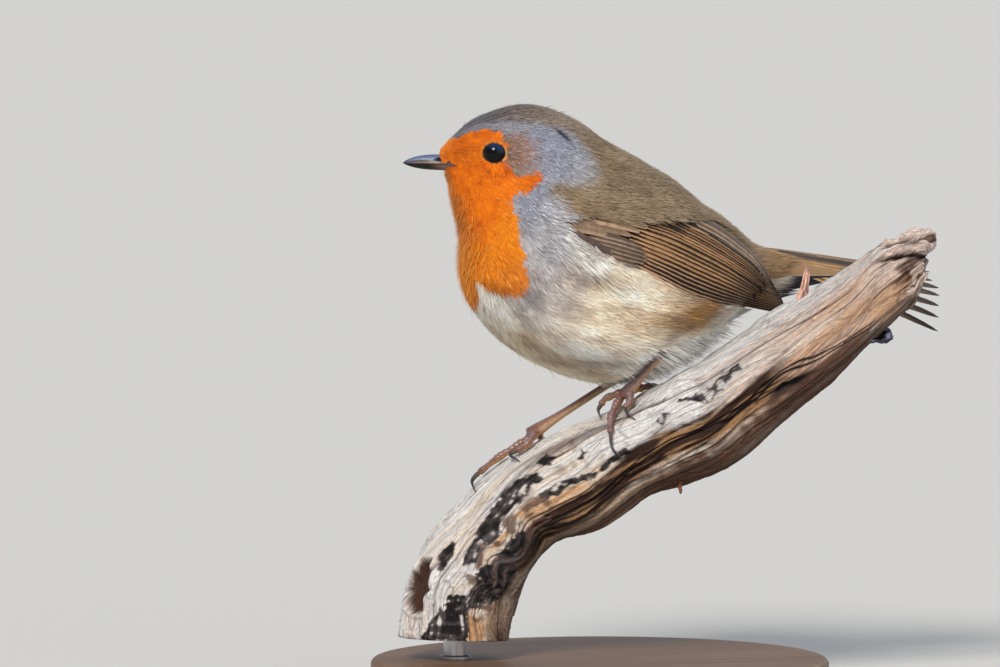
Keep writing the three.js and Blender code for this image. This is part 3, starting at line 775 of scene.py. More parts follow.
@dataclass(frozen=True)
class Markings:
    """Colours of the plumage by place on the body.

    The outlines are closed rows of (ring, degrees from the back), the same on both sides.
    """

    bib: Outline = (
        (-1, -60), (0.3, -60), (0.58, -20), (0.78, 10), (1.2, 38), (1.78, 47), (2.1, 46), (2.7, 54),
        (2.86, 54), (3.18, 62), (3.4, 68), (3.55, 76), (3.9, 80), (4.35, 84), (4.62, 78),
        (4.85, 73),
        (5.02, 74), (5.08, 80), (4.8, 89), (4.68, 95), (4.72, 100), (5.1, 101), (5.5, 105),
        (6.0, 112),
        (6.35, 116), (6.62, 122), (6.92, 127), (7.05, 132), (7.02, 138), (6.8, 144), (6.45, 149),
        (6.1, 154), (6.1, 158), (6.5, 163), (6.8, 170), (6.85, 190), (-1, 190))
    band: Outline = (
        (0.6, 0), (1.2, 26), (1.9, 36), (2.8, 42), (3.5, 42), (4.1, 36), (4.75, 34), (5.2, 35),
        (5.7, 38), (6.08, 50), (6.05, 60), (5.8, 67), (5.35, 74), (5.6, 78), (6.1, 79), (6.45, 84),
        (6.75, 93), (7.1, 99), (7.0, 106), (6.85, 113), (6.5, 117), (6.2, 110), (5.2, 101),
        (4.7, 98),
        (5.0, 84), (4.9, 72), (4.4, 80), (3.7, 78), (3.4, 64), (2.9, 53), (2.1, 46), (1.2, 38),
        (0.6, 10))
    ear: Outline = (
        (3.2, 66), (3.4, 60), (3.8, 59), (4.15, 61), (4.45, 66), (4.5, 72), (4.4, 76), (4.2, 79),
        (3.8, 80), (3.5, 75))
    wing_line: tuple[tuple[float, ...], ...] = ((5, 6, 7, 8, 9.5, 11), (88, 84, 80, 80, 84, 78))
    ring_length: float = 6.0
    degree_length: float = 0.26
    orange: Triple = (0.93, 0.205, 0.004)
    orange_deep: Triple = (0.6, 0.1, 0.004)
    orange_pale: Triple = (0.95, 0.42, 0.1)
    orange_light: Triple = (1.0, 0.3, 0.012)
    orange_dusk: Triple = (0.66, 0.2, 0.03)
    slate: Triple = (0.3, 0.32, 0.4)
    slate_pale: Triple = (0.45, 0.44, 0.47)
    crown: Triple = (0.31, 0.245, 0.195)
    crown_dark: Triple = (0.07, 0.065, 0.085)
    olive: Triple = (0.235, 0.165, 0.098)
    olive_pale: Triple = (0.38, 0.285, 0.19)
    rump: Triple = (0.38, 0.22, 0.1)
    ear_brown: Triple = (0.31, 0.14, 0.065)
    buff: Triple = (1.0, 0.75, 0.5)
    # painted shadow that the rear of the wing casts on the flank
    flank_painted_shadow: Triple = (0.31, 0.165, 0.06)
    cream: Triple = (1.0, 0.88, 0.73)
    white: Triple = (1.0, 0.95, 0.85)
    side: Triple = (0.36, 0.335, 0.355)
    grey_white: Triple = (0.68, 0.56, 0.45)
    belly_shade: Triple = (0.83, 0.74, 0.62)

    def reach(self, outline: Sequence[Pair], u: Array, degrees: Array) -> Array:
        """Signed distance in millimetres to an outline, with rings and degrees made lengths."""
        scaled = [(a * self.ring_length, b * self.degree_length) for a, b in outline]
        return inside(scaled, u * self.ring_length, degrees * self.degree_length)

    def ripple(self, u: Array, v: Array, place: Array) -> Array:
        """Brightness of fine wavy bars across the soft feathers, strongest on the grey side
        of the breast, over broader soft patches that read as single feathers.

        Args:
            u: ring numbers.
            v: angles round the body in radians, 0 on the back.
            place: the same place in millimetres.

        Returns:
            Factor of the colour, around 1.
        """
        degrees = off_back(v)
        drift = 2.6 * noise(place / 3.1, 55) + 1.2 * noise(place / 1.3, 56)
        bars = np.sin(TAU * (place[..., 2] / 0.95 + 0.12 * place[..., 0]) + drift)
        side = bump(u, 6.6, 1.3) * bump(degrees, 104, 24)
        soft = ramp(5.5, 7.0, u) * ramp(84, 96, degrees)
        patch = noise(place * np.array([0.16, 0.3, 0.34]),
                      57) + 0.5 * noise(place * np.array([0.4, 0.6, 0.8]), 58)
        back = ramp(5.0, 6.5, u) * ramp(90, 80, degrees)
        bib = window(u, 3.2, 4.4, 6.6, 7.4) * ramp(96, 106, degrees)
        return (1 + (0.05 + 0.34 * side * (1 - bib) + 0.07 * soft + 0.06 * back + 0.07 * bib) * bars
                + (0.42 * soft + 0.12 * back) * patch)

    def barbs(self, u: Array, degrees: Array) -> Array:
        """Share of long white barbs: a streak under the fore edge of the wing."""
        return bump(degrees, 97, 4.5) * window(u, 6.1, 6.7, 7.5, 8.1)

    def tint(self, u: Array, v: Array, place: Array, soft: float = 0.5) -> Array:
        """Colour at ring u and angle v.

        Back, flank and belly colours blend by angle, the slate band, ear patch and bib follow
        their outlines with a ragged edge, and noise on the place mottles them all.

        Args:
            u, v: place on the body, the angle in radians.
            place: the same place in millimetres.
            soft: half width of the edges' blend in millimetres.

        Returns:
            Colours of shape (..., 3).
        """
        degrees = off_back(v)
        wave = layered_noise(place / 3.2, 3, 11)
        fine = noise(place / 0.9, 21)
        c = palette(self)
        patch = layered_noise(place * np.array([0.11, 0.2, 0.22]), 2, 81)
        streak = 0.5 + 0.5 * np.sin(degrees * 0.9 + 5 * noise(place / 2.2, 31) + 2 * u)
        crown = paint(c.crown, (c.slate_pale * 0.8, ramp(3.4, 1.8, u + 0.3 * wave)),
                      (c.crown_dark, (0.34 + 0.7 * streak) * ramp(4.8, 2.4, u)))
        back = paint(c.olive, (c.olive_pale, np.clip(0.42 + 0.6 * wave + 0.25 * fine, 0, 1)),
                     (c.rump, ramp(10.6, 12.6, u) * 0.8), (crown, ramp(6.2, 4.2, u)))
        # the dark brown laid over the rear flank below the wing is painted shadow
        flank = paint(c.buff, (c.cream, np.clip(0.45 + 0.9 * patch + 0.3 * wave, 0, 1)),
                      (c.flank_painted_shadow,
                       ramp(8.7, 10.3, u + 0.5 * wave) * ramp(124, 98, degrees + 9 * wave) * 0.97))
        belly = mix(c.white, c.grey_white, np.clip(0.3 + 0.9 * patch + 0.3 * wave, 0, 1))
        lower = paint(flank, (belly, ramp(108, 142, degrees + 14 * wave)),
                      (belly, ramp(10.9, 11.6, u)),
                      (c.side, ramp(8.6, 7.0, u + 0.5 * wave) * ramp(156, 132, degrees) * 0.9),
                      (c.white, ramp(9.6, 10.4, u) * ramp(112, 128, degrees)))
        # painted shade on the underside of the belly, which faces away from the light
        shade = ramp(138, 156, degrees + 5 * wave) * window(u, 6.9, 8.0, 9.8, 10.6)
        lower = lower * mix(np.ones(3), c.belly_shade, shade)
        streaks = 1.0 + 1.6 * noise(place * np.array([0.5, 0.8, 1.8]), 23)
        lower = mix(lower, c.white, np.clip(self.barbs(u, degrees) * streaks, 0, 1))
        edge = np.interp(u, *self.wing_line)
        band = self.reach(self.band, u, degrees) + 1.2 * wave + 0.7 * fine
        slate = paint(c.slate, (c.slate_pale, ramp(4.9, 6.6, u + 0.5 * wave)),
                      (c.crown, ramp(4.4, 3.4, u + 0.5 * wave) * 0.25))
        ear = self.reach(self.ear, u, degrees) + 1.0 * wave + 0.8 * fine
        # painted shadow in a crease where the neck feathers part
        crease_shadow = bump(u, 4.72, 0.3) * bump(degrees - 9 * (u - 4.72), 38, 1.9)
        bib = self.reach(self.bib, u, degrees) + 0.5 * wave + 0.7 * fine
        orange = mix(c.orange, c.orange_deep,
                     np.clip(0.25 + 0.8 * layered_noise(place / 2.0, 2, 51), 0, 0.8))
        # the orange is darkened by up to 0.26 on the lore as painted shade
        orange = paint(
            orange * (1 - 0.26 * bump(u, 1.9, 0.8) * bump(degrees, 82, 18))[..., None],
            (c.orange_light, ramp(4.2, 5.2, u + 0.4 * wave) * ramp(84, 94, degrees)
             * (0.55 + 0.3 * fine)),
            (c.orange_dusk, ramp(5.9, 6.8, u + 0.3 * wave) * 0.7),
            (c.orange_deep * 1.15, 0.6 * ramp(3.5, 4.1, u) * ramp(86, 80, degrees)))
        # crown_dark at 0.4 from ring 13.7 back, low on the sides, is painted shade in the gap
        # before the tail
        return paint(
            back, (lower, ramp(-4, 4, degrees - edge + 5 * wave)),
            (slate, ramp(-1.8, 1.4, band) * (1 - 0.45 * ramp(3.4, 1.4, u))),
            (c.ear_brown, ramp(-3.0, 1.2, ear) * (0.74 + 0.2 * np.sin(degrees * 1.1 + 6 * fine))),
            (c.crown_dark * 0.5, np.clip(1.3 * crease_shadow, 0, 1)),
            (c.crown_dark * 0.4, ramp(13.7, 14.1, u) * ramp(74, 84, degrees)),
            (orange, ramp(-soft, soft, bib)))


@dataclass(frozen=True)
class Plumage:
    """How deep, long, wide and dense the coat is at a place on the body."""

    body: Body = field(default_factory=Body)

    def depth(self, u: Array) -> Array:
        """Distance from the coat's outer surface down to the skin, growing from bill to belly."""
        return 0.35 + 0.45 * ramp(0.5, 2.5, u) + 1.2 * ramp(3.5, 8.0, u) - 0.8 * ramp(12.2, 14.6, u)

    def length(self, u: Array, degrees: Array) -> Array:
        """Lock length: short on the face, longer below and toward the tail.

        Args:
            u: ring numbers.
            degrees: degrees off the back.

        Returns:
            Lengths in millimetres.
        """
        face = 1.0 + 1.1 * ramp(0.0, 2.0, u) + 1.5 * ramp(2.0, 4.8, u)
        rest = 1.8 * ramp(4.8, 7.5, u) + 1.0 * ramp(8.0, 12.0, u)
        return face + rest * (0.75 + 0.25 * ramp(60, 130, degrees))

    def sweep(self, u: Array, degrees: Array) -> Array:
        """Turn of the locks off the body's length: level along the flank, hanging behind it.

        Args:
            u: ring numbers.
            degrees: degrees off the back.

        Returns:
            Turns in radians, downward on the side.
        """
        flank = window(u, 7.2, 8.2, 9.4, 10.2) * ramp(50, 80, degrees)
        behind = window(u, 9.6, 10.6, 12.0, 13.0) * ramp(80, 100, degrees)
        return (0.3 * flank - 0.5 * behind) * ramp(178, 160, degrees)

    def width(self, u: Array) -> Array:
        """Lock width, from a fine bristle on the face to a barb clump on the body."""
        return 0.13 + 0.06 * ramp(0.5, 3.5, u) + 0.07 * ramp(4.0, 8.0, u)


# ---- skin ------------------------------------------------------------------------------


@dataclass
class Skin:
    """One closed skin under the coat, the coat's depth inside the plumage surface."""

    plumage: Plumage
    markings: Markings
    rows: int = 230
    columns: int = 200
    shade: float = 0.8

    def build(self, material: Material, thighs: Sequence["Thigh"]) -> Piece:
        """Grid over ring and angle, each point moved in along the normal by the coat's depth.

        Args:
            material: the finish.
            thighs: cuffs whose bare cones join the skin.

        Returns:
            The skin.
        """
        body = self.plumage.body
        work = Patchwork()
        u, v = np.meshgrid(np.linspace(0, 15, self.rows),
                           np.arange(self.columns) * TAU / self.columns,
                           indexing="ij")
        _, _, normal = body.slopes(u, v)
        surface = body.at(u, v)
        inner = surface - normal * self.plumage.depth(u)[..., None]
        points = capped(inner)
        tints = capped(self.markings.tint(u, v, surface) * self.shade)
        work.add(points, outward(points, tube_faces(self.rows, self.columns)), tints)
        for thigh in thighs:
            thigh.add_skin(work)
        piece = work.build("skin", material)
        return settle(piece, Slot.PLUMAGE, "head", "neck", "trunk", "thigh_left", "thigh_right")


# ---- coat ------------------------------------------------------------------------------


@dataclass
class Locks:
    """Rows of thin, tapered, closed locks, each five to a tuft.

    A lock has a small ring of three corners at its root, a wider one past its middle and one
    point at its tip: seven points and ten triangles when its quads are split.
    """

    fan: int = 5
    middle: float = 0.55
    root_share: float = 0.45
    lean: float = 0.35
    corner_count: int = 7
    patch_half: float = 0.0015

    def faces(self) -> list[Array]:
        """Faces of one lock: root cap, three quads and three tip triangles.

        Returns:
            The cap, the quads and the tip triangles.
        """
        ring = np.arange(3)
        after = (ring + 1) % 3
        quads = np.stack([ring, after, after + 3, ring + 3], -1)
        tips = np.stack([ring + 3, after + 3, np.full(3, 6)], -1)
        return [np.array([[2, 1, 0]]), quads, tips]

    def corners(self, roots: Array, knees: Array, tips: Array, side: Array, up: Array,
                width: Array, thick: Array) -> Array:
        """Seven corners of each lock.

        The root ring is 0.45 of the width and the knee ring the full width; each ring is left,
        right and a ridge raised by the thickness.

        Args:
            roots: where locks start, shape (n, 3).
            knees: their middles.
            tips: their ends.
            side: direction across each lock.
            up: outward direction at each.
            width: widths, shape (n,).
            thick: thicknesses, shape (n,).

        Returns:
            Corners of shape (n, 7, 3).
        """
        half = width[:, None] / 2
        rise = up * thick[:, None]
        rings = []
        for middle, share in ((roots, self.root_share), (knees, 1.0)):
            rings += [middle - side * half * share, middle + side * half * share, middle + rise]
        return np.stack([*rings, tips], 1)

    def shading(self, up: Array, side: Array) -> Array:
        """Shading directions of the seven corners: the coat's own outward direction, leaning a
        little to each side so that a lock still reads as rounded."""
        lean = np.array([-1, 1, 0, -1, 1, 0, 0.0])[None, :, None] * self.lean
        return unit(up[:, None] + side[:, None] * lean)

    def patch(self, place: Array) -> Array:
        """Unwrap place of every corner: the seven spread over a patch 0.003 across."""
        spread = np.array([(-1, -1), (1, -1), (0, -0.8), (-1, 0.3), (1, 0.3), (0, 0.4), (0, 1)])
        return place[:, None] + spread * self.patch_half

    def add(self, work: Patchwork, corners: Array, tints: Array, place: Array, up: Array,
            side: Array) -> None:
        """Adds locks to a patchwork.

        Args:
            work: takes the points and faces.
            corners: corners of each lock, shape (n, 7, 3).
            tints: colours of the corners, of the same shape.
            place: where each lock lies on the unwrap, shape (n, 2).
            up: outward direction that each lock is shaded by, shape (n, 3).
            side: direction across each lock, shape (n, 3).
        """
        work.add(corners.reshape(-1, 3),
                 repeat_faces(self.faces(), self.corner_count, len(corners)),
                 tints.reshape(-1, 3), self.patch(place).reshape(-1, 2),
                 self.shading(up, side).reshape(-1, 3))


@dataclass(frozen=True)
class Region:
    """A stretch of the coat that is one piece."""

    name: str
    rings: Pair
    degrees: Pair


@dataclass
class Coat:
    """All the contour feathers of head and body."""

    plumage: Plumage
    markings: Markings
    eyes: "Eyes"
    wings: Sequence["Wing"]
    shanks: Sequence[tuple[Array, Array]] = ()
    layers: float = 10.5
    cap: int = 3960
    # colour factors of a lock's seven corners: painted shade at the root under the locks above,
    # painted light at the tip
    painted_lock_shading: tuple[float, ...] = (0.8, 0.8, 0.75, 0.97, 0.97, 1.0, 1.1)
    corner: Outline = (
        (-43.0, 130.9), (-40.0, 130.4), (-38.3, 129.7), (-36.9, 128.6), (-35.6, 128.1),
        (-36.6, 127.3),
        (-38.7, 126.8), (-43.0, 126.5))
    regions: tuple[Region, ...] = (
        Region("face", (0.0, 1.7), (0, 360)),
        Region("cheek_and_crown", (1.7, 3.4), (0, 360)),
        Region("head_back", (3.4, 5.0), (-110, 110)),
        Region("throat", (3.4, 6.4), (110, 250)),
        Region("neck", (5.0, 7.0), (-110, 110)),
        Region("breast", (6.4, 8.6), (110, 250)),
        Region("shoulders", (7.0, 9.6), (-110, 110)),
        Region("belly", (8.6, 11.0), (110, 250)),
        Region("back_and_flanks", (9.6, 12.0), (-110, 110)),
        Region("rump_and_vent", (11.0, 14.9), (0, 360)))

    def sample(self, region: Region, rng: np.random.Generator) -> tuple[Array, Array]:
        """Even random roots over a region.

        Cells of a fine grid weigh area x layers / (length x width x fan); the roots follow the
        plastic-number sequence through the rows' and then the columns' running totals.

        Args:
            region: the stretch of the coat.
            rng: source of the random start.

        Returns:
            Ring numbers and angles of the roots.
        """
        rows, columns = 160, 240
        edges_u = np.linspace(*region.rings, rows + 1)
        edges_v = np.radians(np.linspace(*region.degrees, columns + 1))
        u, v = np.meshgrid((edges_u[1:] + edges_u[:-1]) / 2, (edges_v[1:] + edges_v[:-1]) / 2,
                           indexing="ij")
        by_u, by_v, _ = self.plumage.body.slopes(u, v)
        area = np.linalg.norm(np.cross(by_u, by_v), axis=-1)
        area *= (edges_u[1] - edges_u[0]) * (edges_v[1] - edges_v[0])
        degrees = off_back(v)
        size = self.plumage.length(u, degrees) * self.plumage.width(u) * Locks().fan
        weight = area * self.layers / size * self.shown(u, v)
        count = min(int(weight.sum()), self.cap)
        log.info("%s: %.0f mm2, %d tufts", region.name, area.sum(), count)
        plastic = 1.32471795724
        index = np.arange(count) + rng.random()
        x, y = (index / plastic) % 1.0, (index / plastic**2) % 1.0
        totals = np.cumsum(weight.sum(1))
        place = np.interp(x * totals[-1], np.concatenate([[0], totals]), np.arange(rows + 1))
        row = np.minimum(place.astype(int), rows - 1)
        across = np.cumsum(weight, axis=1)
        across = np.concatenate([np.zeros((rows, 1)), across], 1) / np.maximum(across[:, -1:], 1e-9)
        flat = (across + np.arange(rows)[:, None]).ravel()
        column = np.interp(row + y * (1 - 1e-9), flat, np.arange(flat.size)) % (columns + 1)
        root_u = np.interp(place, np.arange(rows + 1), edges_u)
        root_v = np.interp(column, np.arange(columns + 1), edges_v)
        return root_u, root_v

    def shown(self, u: Array, v: Array) -> Array:
        """Share of locks kept at a place: none under an eye or well under a folded wing.

        Args:
            u: ring numbers.
            v: angles round the body in radians, 0 on the back.

        Returns:
            Shares from 0 to 1.
        """
        level = self.plumage.body.level(u, v)
        keep = 1.0 - self.eyes.covers(level, -0.3)
        for wing in self.wings:
            keep = keep * (1.0 - wing.covers(level, v))
        return keep

    def step(self, u: Array, v: Array, forward: Array,
             sideways: Array) -> tuple[Array, Array, Array]:
        """Ring and angle reached by a step along the lie of the coat and across it.

        The step's parts along the surface's two slopes come from its Gram matrix; what would go
        past the last ring is returned as a straight run on.

        Args:
            u: ring numbers.
            v: angles round the body in radians, 0 on the back.
            forward: step toward the tail in millimetres.
            sideways: step across it.

        Returns:
            Ring numbers, angles and the run past the last ring.
        """
        body = self.plumage.body
        by_u, by_v, normal = body.slopes(u, v)
        along = unit(by_u)
        course = along * forward[:, None] + unit(np.cross(normal, along)) * sideways[:, None]
        guu, guv, gvv = (np.einsum("ij,ij->i", a, b) for a,
                         b in ((by_u, by_u), (by_u, by_v), (by_v, by_v)))
        su, sv = np.einsum("ij,ij->i", course, by_u), np.einsum("ij,ij->i", course, by_v)
        det = np.maximum(guu * gvv - guv * guv, 1e-9)
        du, dv = (su * gvv - sv * guv) / det, (sv * guu - su * guv) / det
        beyond = np.maximum(u + du - body.last, 0)
        return np.clip(u + du, 0.0, body.last), v + np.clip(dv, -0.9, 0.9), beyond

    def region(self, region: Region, material: Material) -> Piece:
        """Builds one region's locks.

        A lock starts at the skin, runs along the surface toward the tail with a small random
        slant, rises to the surface as depth x (1 - share^0.75), and tapers to a point. It takes
        the colour of the place where most of it is seen.

        Args:
            region: the stretch of the coat.
            material: the finish.

        Returns:
            The region's piece.
        """
        body, plumage, locks = self.plumage.body, self.plumage, Locks()
        rng = np.random.default_rng(sum(map(ord, region.name)) * 977)
        tuft_u, tuft_v = self.sample(region, rng)
        tufts = len(tuft_u)
        n = tufts * locks.fan
        slot = np.tile(np.arange(locks.fan) - (locks.fan - 1) / 2, tufts)
        u, v = np.repeat(tuft_u, locks.fan), np.repeat(tuft_v, locks.fan)
        degrees = off_back(v)
        length = plumage.length(u, degrees) * rng.uniform(0.8, 1.2, n) * (1 - 0.05 * np.abs(slot))
        length = length * (1 + 0.8 * self.markings.barbs(u, degrees))
        width = plumage.width(u) * rng.uniform(0.75, 1.25, n)
        root = body.at(u, v)
        slant = np.repeat(rng.normal(0, 0.07, tufts), locks.fan) + slot * 0.06
        slant = slant + rng.normal(0, 0.035, n)
        slant += (0.3 * noise(root / 8.0, 71) + 0.22 * noise(root / 3.0, 73)
                  + self.eyes.swerve(body.level(u, v), v))
        slant += plumage.sweep(u, degrees) * np.sign(np.sin(v))
        spread = slot * width * 0.85 + rng.normal(0, 0.1, n) * width
        depth = plumage.depth(u)
        fringe = window(u, 9.4, 10.2, 11.6, 12.6) * ramp(112, 128, degrees)
        length = length * (1 + 0.35 * fringe * rng.random(n))
        stands = rng.random(n) < self.strays(u, degrees) + 0.4 * fringe
        stray = stands * rng.uniform(0.15, 0.5, n) * length
        stray = stray * (0.75 + 0.45 * fringe + 0.5 * ramp(6.0, 3.0, u) * ramp(125, 160, degrees))
        loft = np.repeat(rng.normal(0, 0.05, tufts), locks.fan) * depth
        loft = loft + rng.uniform(-0.05, 0.08, n) * depth
        loft += 0.1 * depth * noise(root / 2.6, 72) + stray
        raised = sum(wing.swell(body.level(u, v), v)
                     for wing in self.wings) + self.eyes.brow(body.level(u, v))
        stations = []
        for share in (0.0, locks.middle, 1.0):
            end_u, end_v, beyond = self.step(u, v, length * share * np.cos(slant),
                                             length * share * np.sin(slant) + spread)
            onward, _, out = body.slopes(end_u, end_v)
            rise = -depth * (1 - share**0.75) + loft * share**1.5 - 0.05 * (share == 0)
            rise = rise + raised * (0.55 + 0.45 * share**0.5)
            stations.append((body.at(end_u, end_v) + out * rise[:, None] + onward * beyond[:, None],
                             out, end_u, end_v))
        roots, knees, tips = (station[0] for station in stations)
        up, knee_u, knee_v = stations[1][1:]
        side = unit(np.cross(up, unit(tips - roots)))
        corners = locks.corners(roots, knees, tips, side, up, width, width * 0.3)
        tip_u, tip_v = stations[2][2:]
        seen_u, seen_v = knee_u + 0.45 * (tip_u - knee_u), knee_v + 0.45 * (tip_v - knee_v)
        tint = self.markings.tint(seen_u, seen_v, body.at(seen_u, seen_v), 0.2)
        streaky = 0.15 + 0.1 * ramp(4.0, 6.0, u) - 0.06 * ramp(7.0, 8.0, u) * ramp(84, 96, degrees)
        streaky = streaky + 0.2 * (tint[:, 0] < 3 * tint[:, 2]) * ramp(6.2, 5.0, u)
        tint = tint * (1 + np.repeat(rng.uniform(-1, 1, tufts), locks.fan) * 0.6 * streaky)[:, None]
        tint = tint * (1 + rng.uniform(-1, 1, n) * streaky)[:, None]
        tint = mix(tint, self.markings.orange_pale,
                   (stray > 0) * 0.5 * (tint[:, 0] > 4 * tint[:, 2]))
        bars = [self.markings.ripple(a, b, body.at(a, b)) for a,
                b in ((seen_u, seen_v), (tip_u, tip_v))]
        bars = np.stack([bars[0]] * (locks.corner_count - 1) + [bars[1]], 1)[..., None]
        tints = tint[:, None] * np.array(self.painted_lock_shading)[None, :, None] * bars
        tip_level, root_level = body.level(tip_u, tip_v), body.level(u, v)
        keep = self.eyes.covers(root_level, 0.0) < 0.5
        keep &= self.eyes.clear(tips) & self.eyes.clear(knees)
        for wing in self.wings:
            keep &= ~wing.hides(root_level, tip_level, v, rng.random(n))
        keep &= ~self.bare(root_level) & ~self.bare(body.level(knee_u, knee_v))
        for part in (0.0, 0.35, 0.7, 1.0):
            keep &= ~self.crosses_shank(knees + (tips - knees) * part)
        keep &= u + 0.3 * rng.random(n) < np.where(degrees > 84, 13.95, 13.35)
        open_air = np.stack([np.full(n, -0.25), -np.sign(np.sin(v)), np.full(n, 0.62)], -1)
        pale = window(u, 7.3, 8.0, 9.1, 9.9) * window(degrees, 80, 90, 124, 146)
        behind = window(u, 9.6, 10.2, 10.6, 11.6) * ramp(108, 122, degrees)
        lit = unit(up + open_air * (0.75 * pale + 1.2 * np.maximum(fringe, behind))[:, None])
        work = Patchwork()
        locks.add(work, corners[keep], tints[keep], body.unwrap(u, v)[keep], lit[keep], side[keep])
        return settle(work.build("coat_" + region.name, material, patches=True), Slot.PLUMAGE)

    def strays(self, u: Array, degrees: Array) -> Array:
        """Share of locks that stand off: many at the bill, some on throat and crown, few elsewhere.

        Args:
            u: ring numbers.
            degrees: degrees off the back.

        Returns:
            Shares from 0 to 1.
        """
        throat = ramp(7.0, 4.0, u) * ramp(120, 160, degrees)
        crown = 0.04 * ramp(50, 30, degrees) * ramp(5, 4, u)
        return 0.006 * ramp(60, 84, degrees) + 0.32 * throat + 0.22 * ramp(1.1, 0.3, u) + crown

    def crosses_shank(self, points: Array) -> Array:
        """Whether a point hangs in front of the bare part of a shank in side view.

        Args:
            points: places in millimetres, shape (n, 3).

        Returns:
            One truth value a point.
        """
        crosses = np.zeros(len(points), bool)
        for top, ball in self.shanks:
            start, span = (top + 0.3 * (ball - top))[[0, 2]], (0.7 * (ball - top))[[0, 2]]
            offset = points[:, [0, 2]] - start
            share = np.clip(offset @ span / (span @ span), 0, 1)
            away = np.linalg.norm(offset - share[:, None] * span, axis=1)
            crosses |= (away < 1.35) & (np.sign(points[:, 1]) == np.sign(top[1]))
        return crosses

    def bare(self, level: Array) -> Array:
        """Whether a place of the face is the bill's naked corner."""
        return inside(self.corner, level[:, 0], level[:, 2]) > 0

    def build(self, material: Material) -> None:
        """Builds every region."""
        for region in self.regions:
            self.region(region, material)


# ---- eyes ------------------------------------------------------------------------------


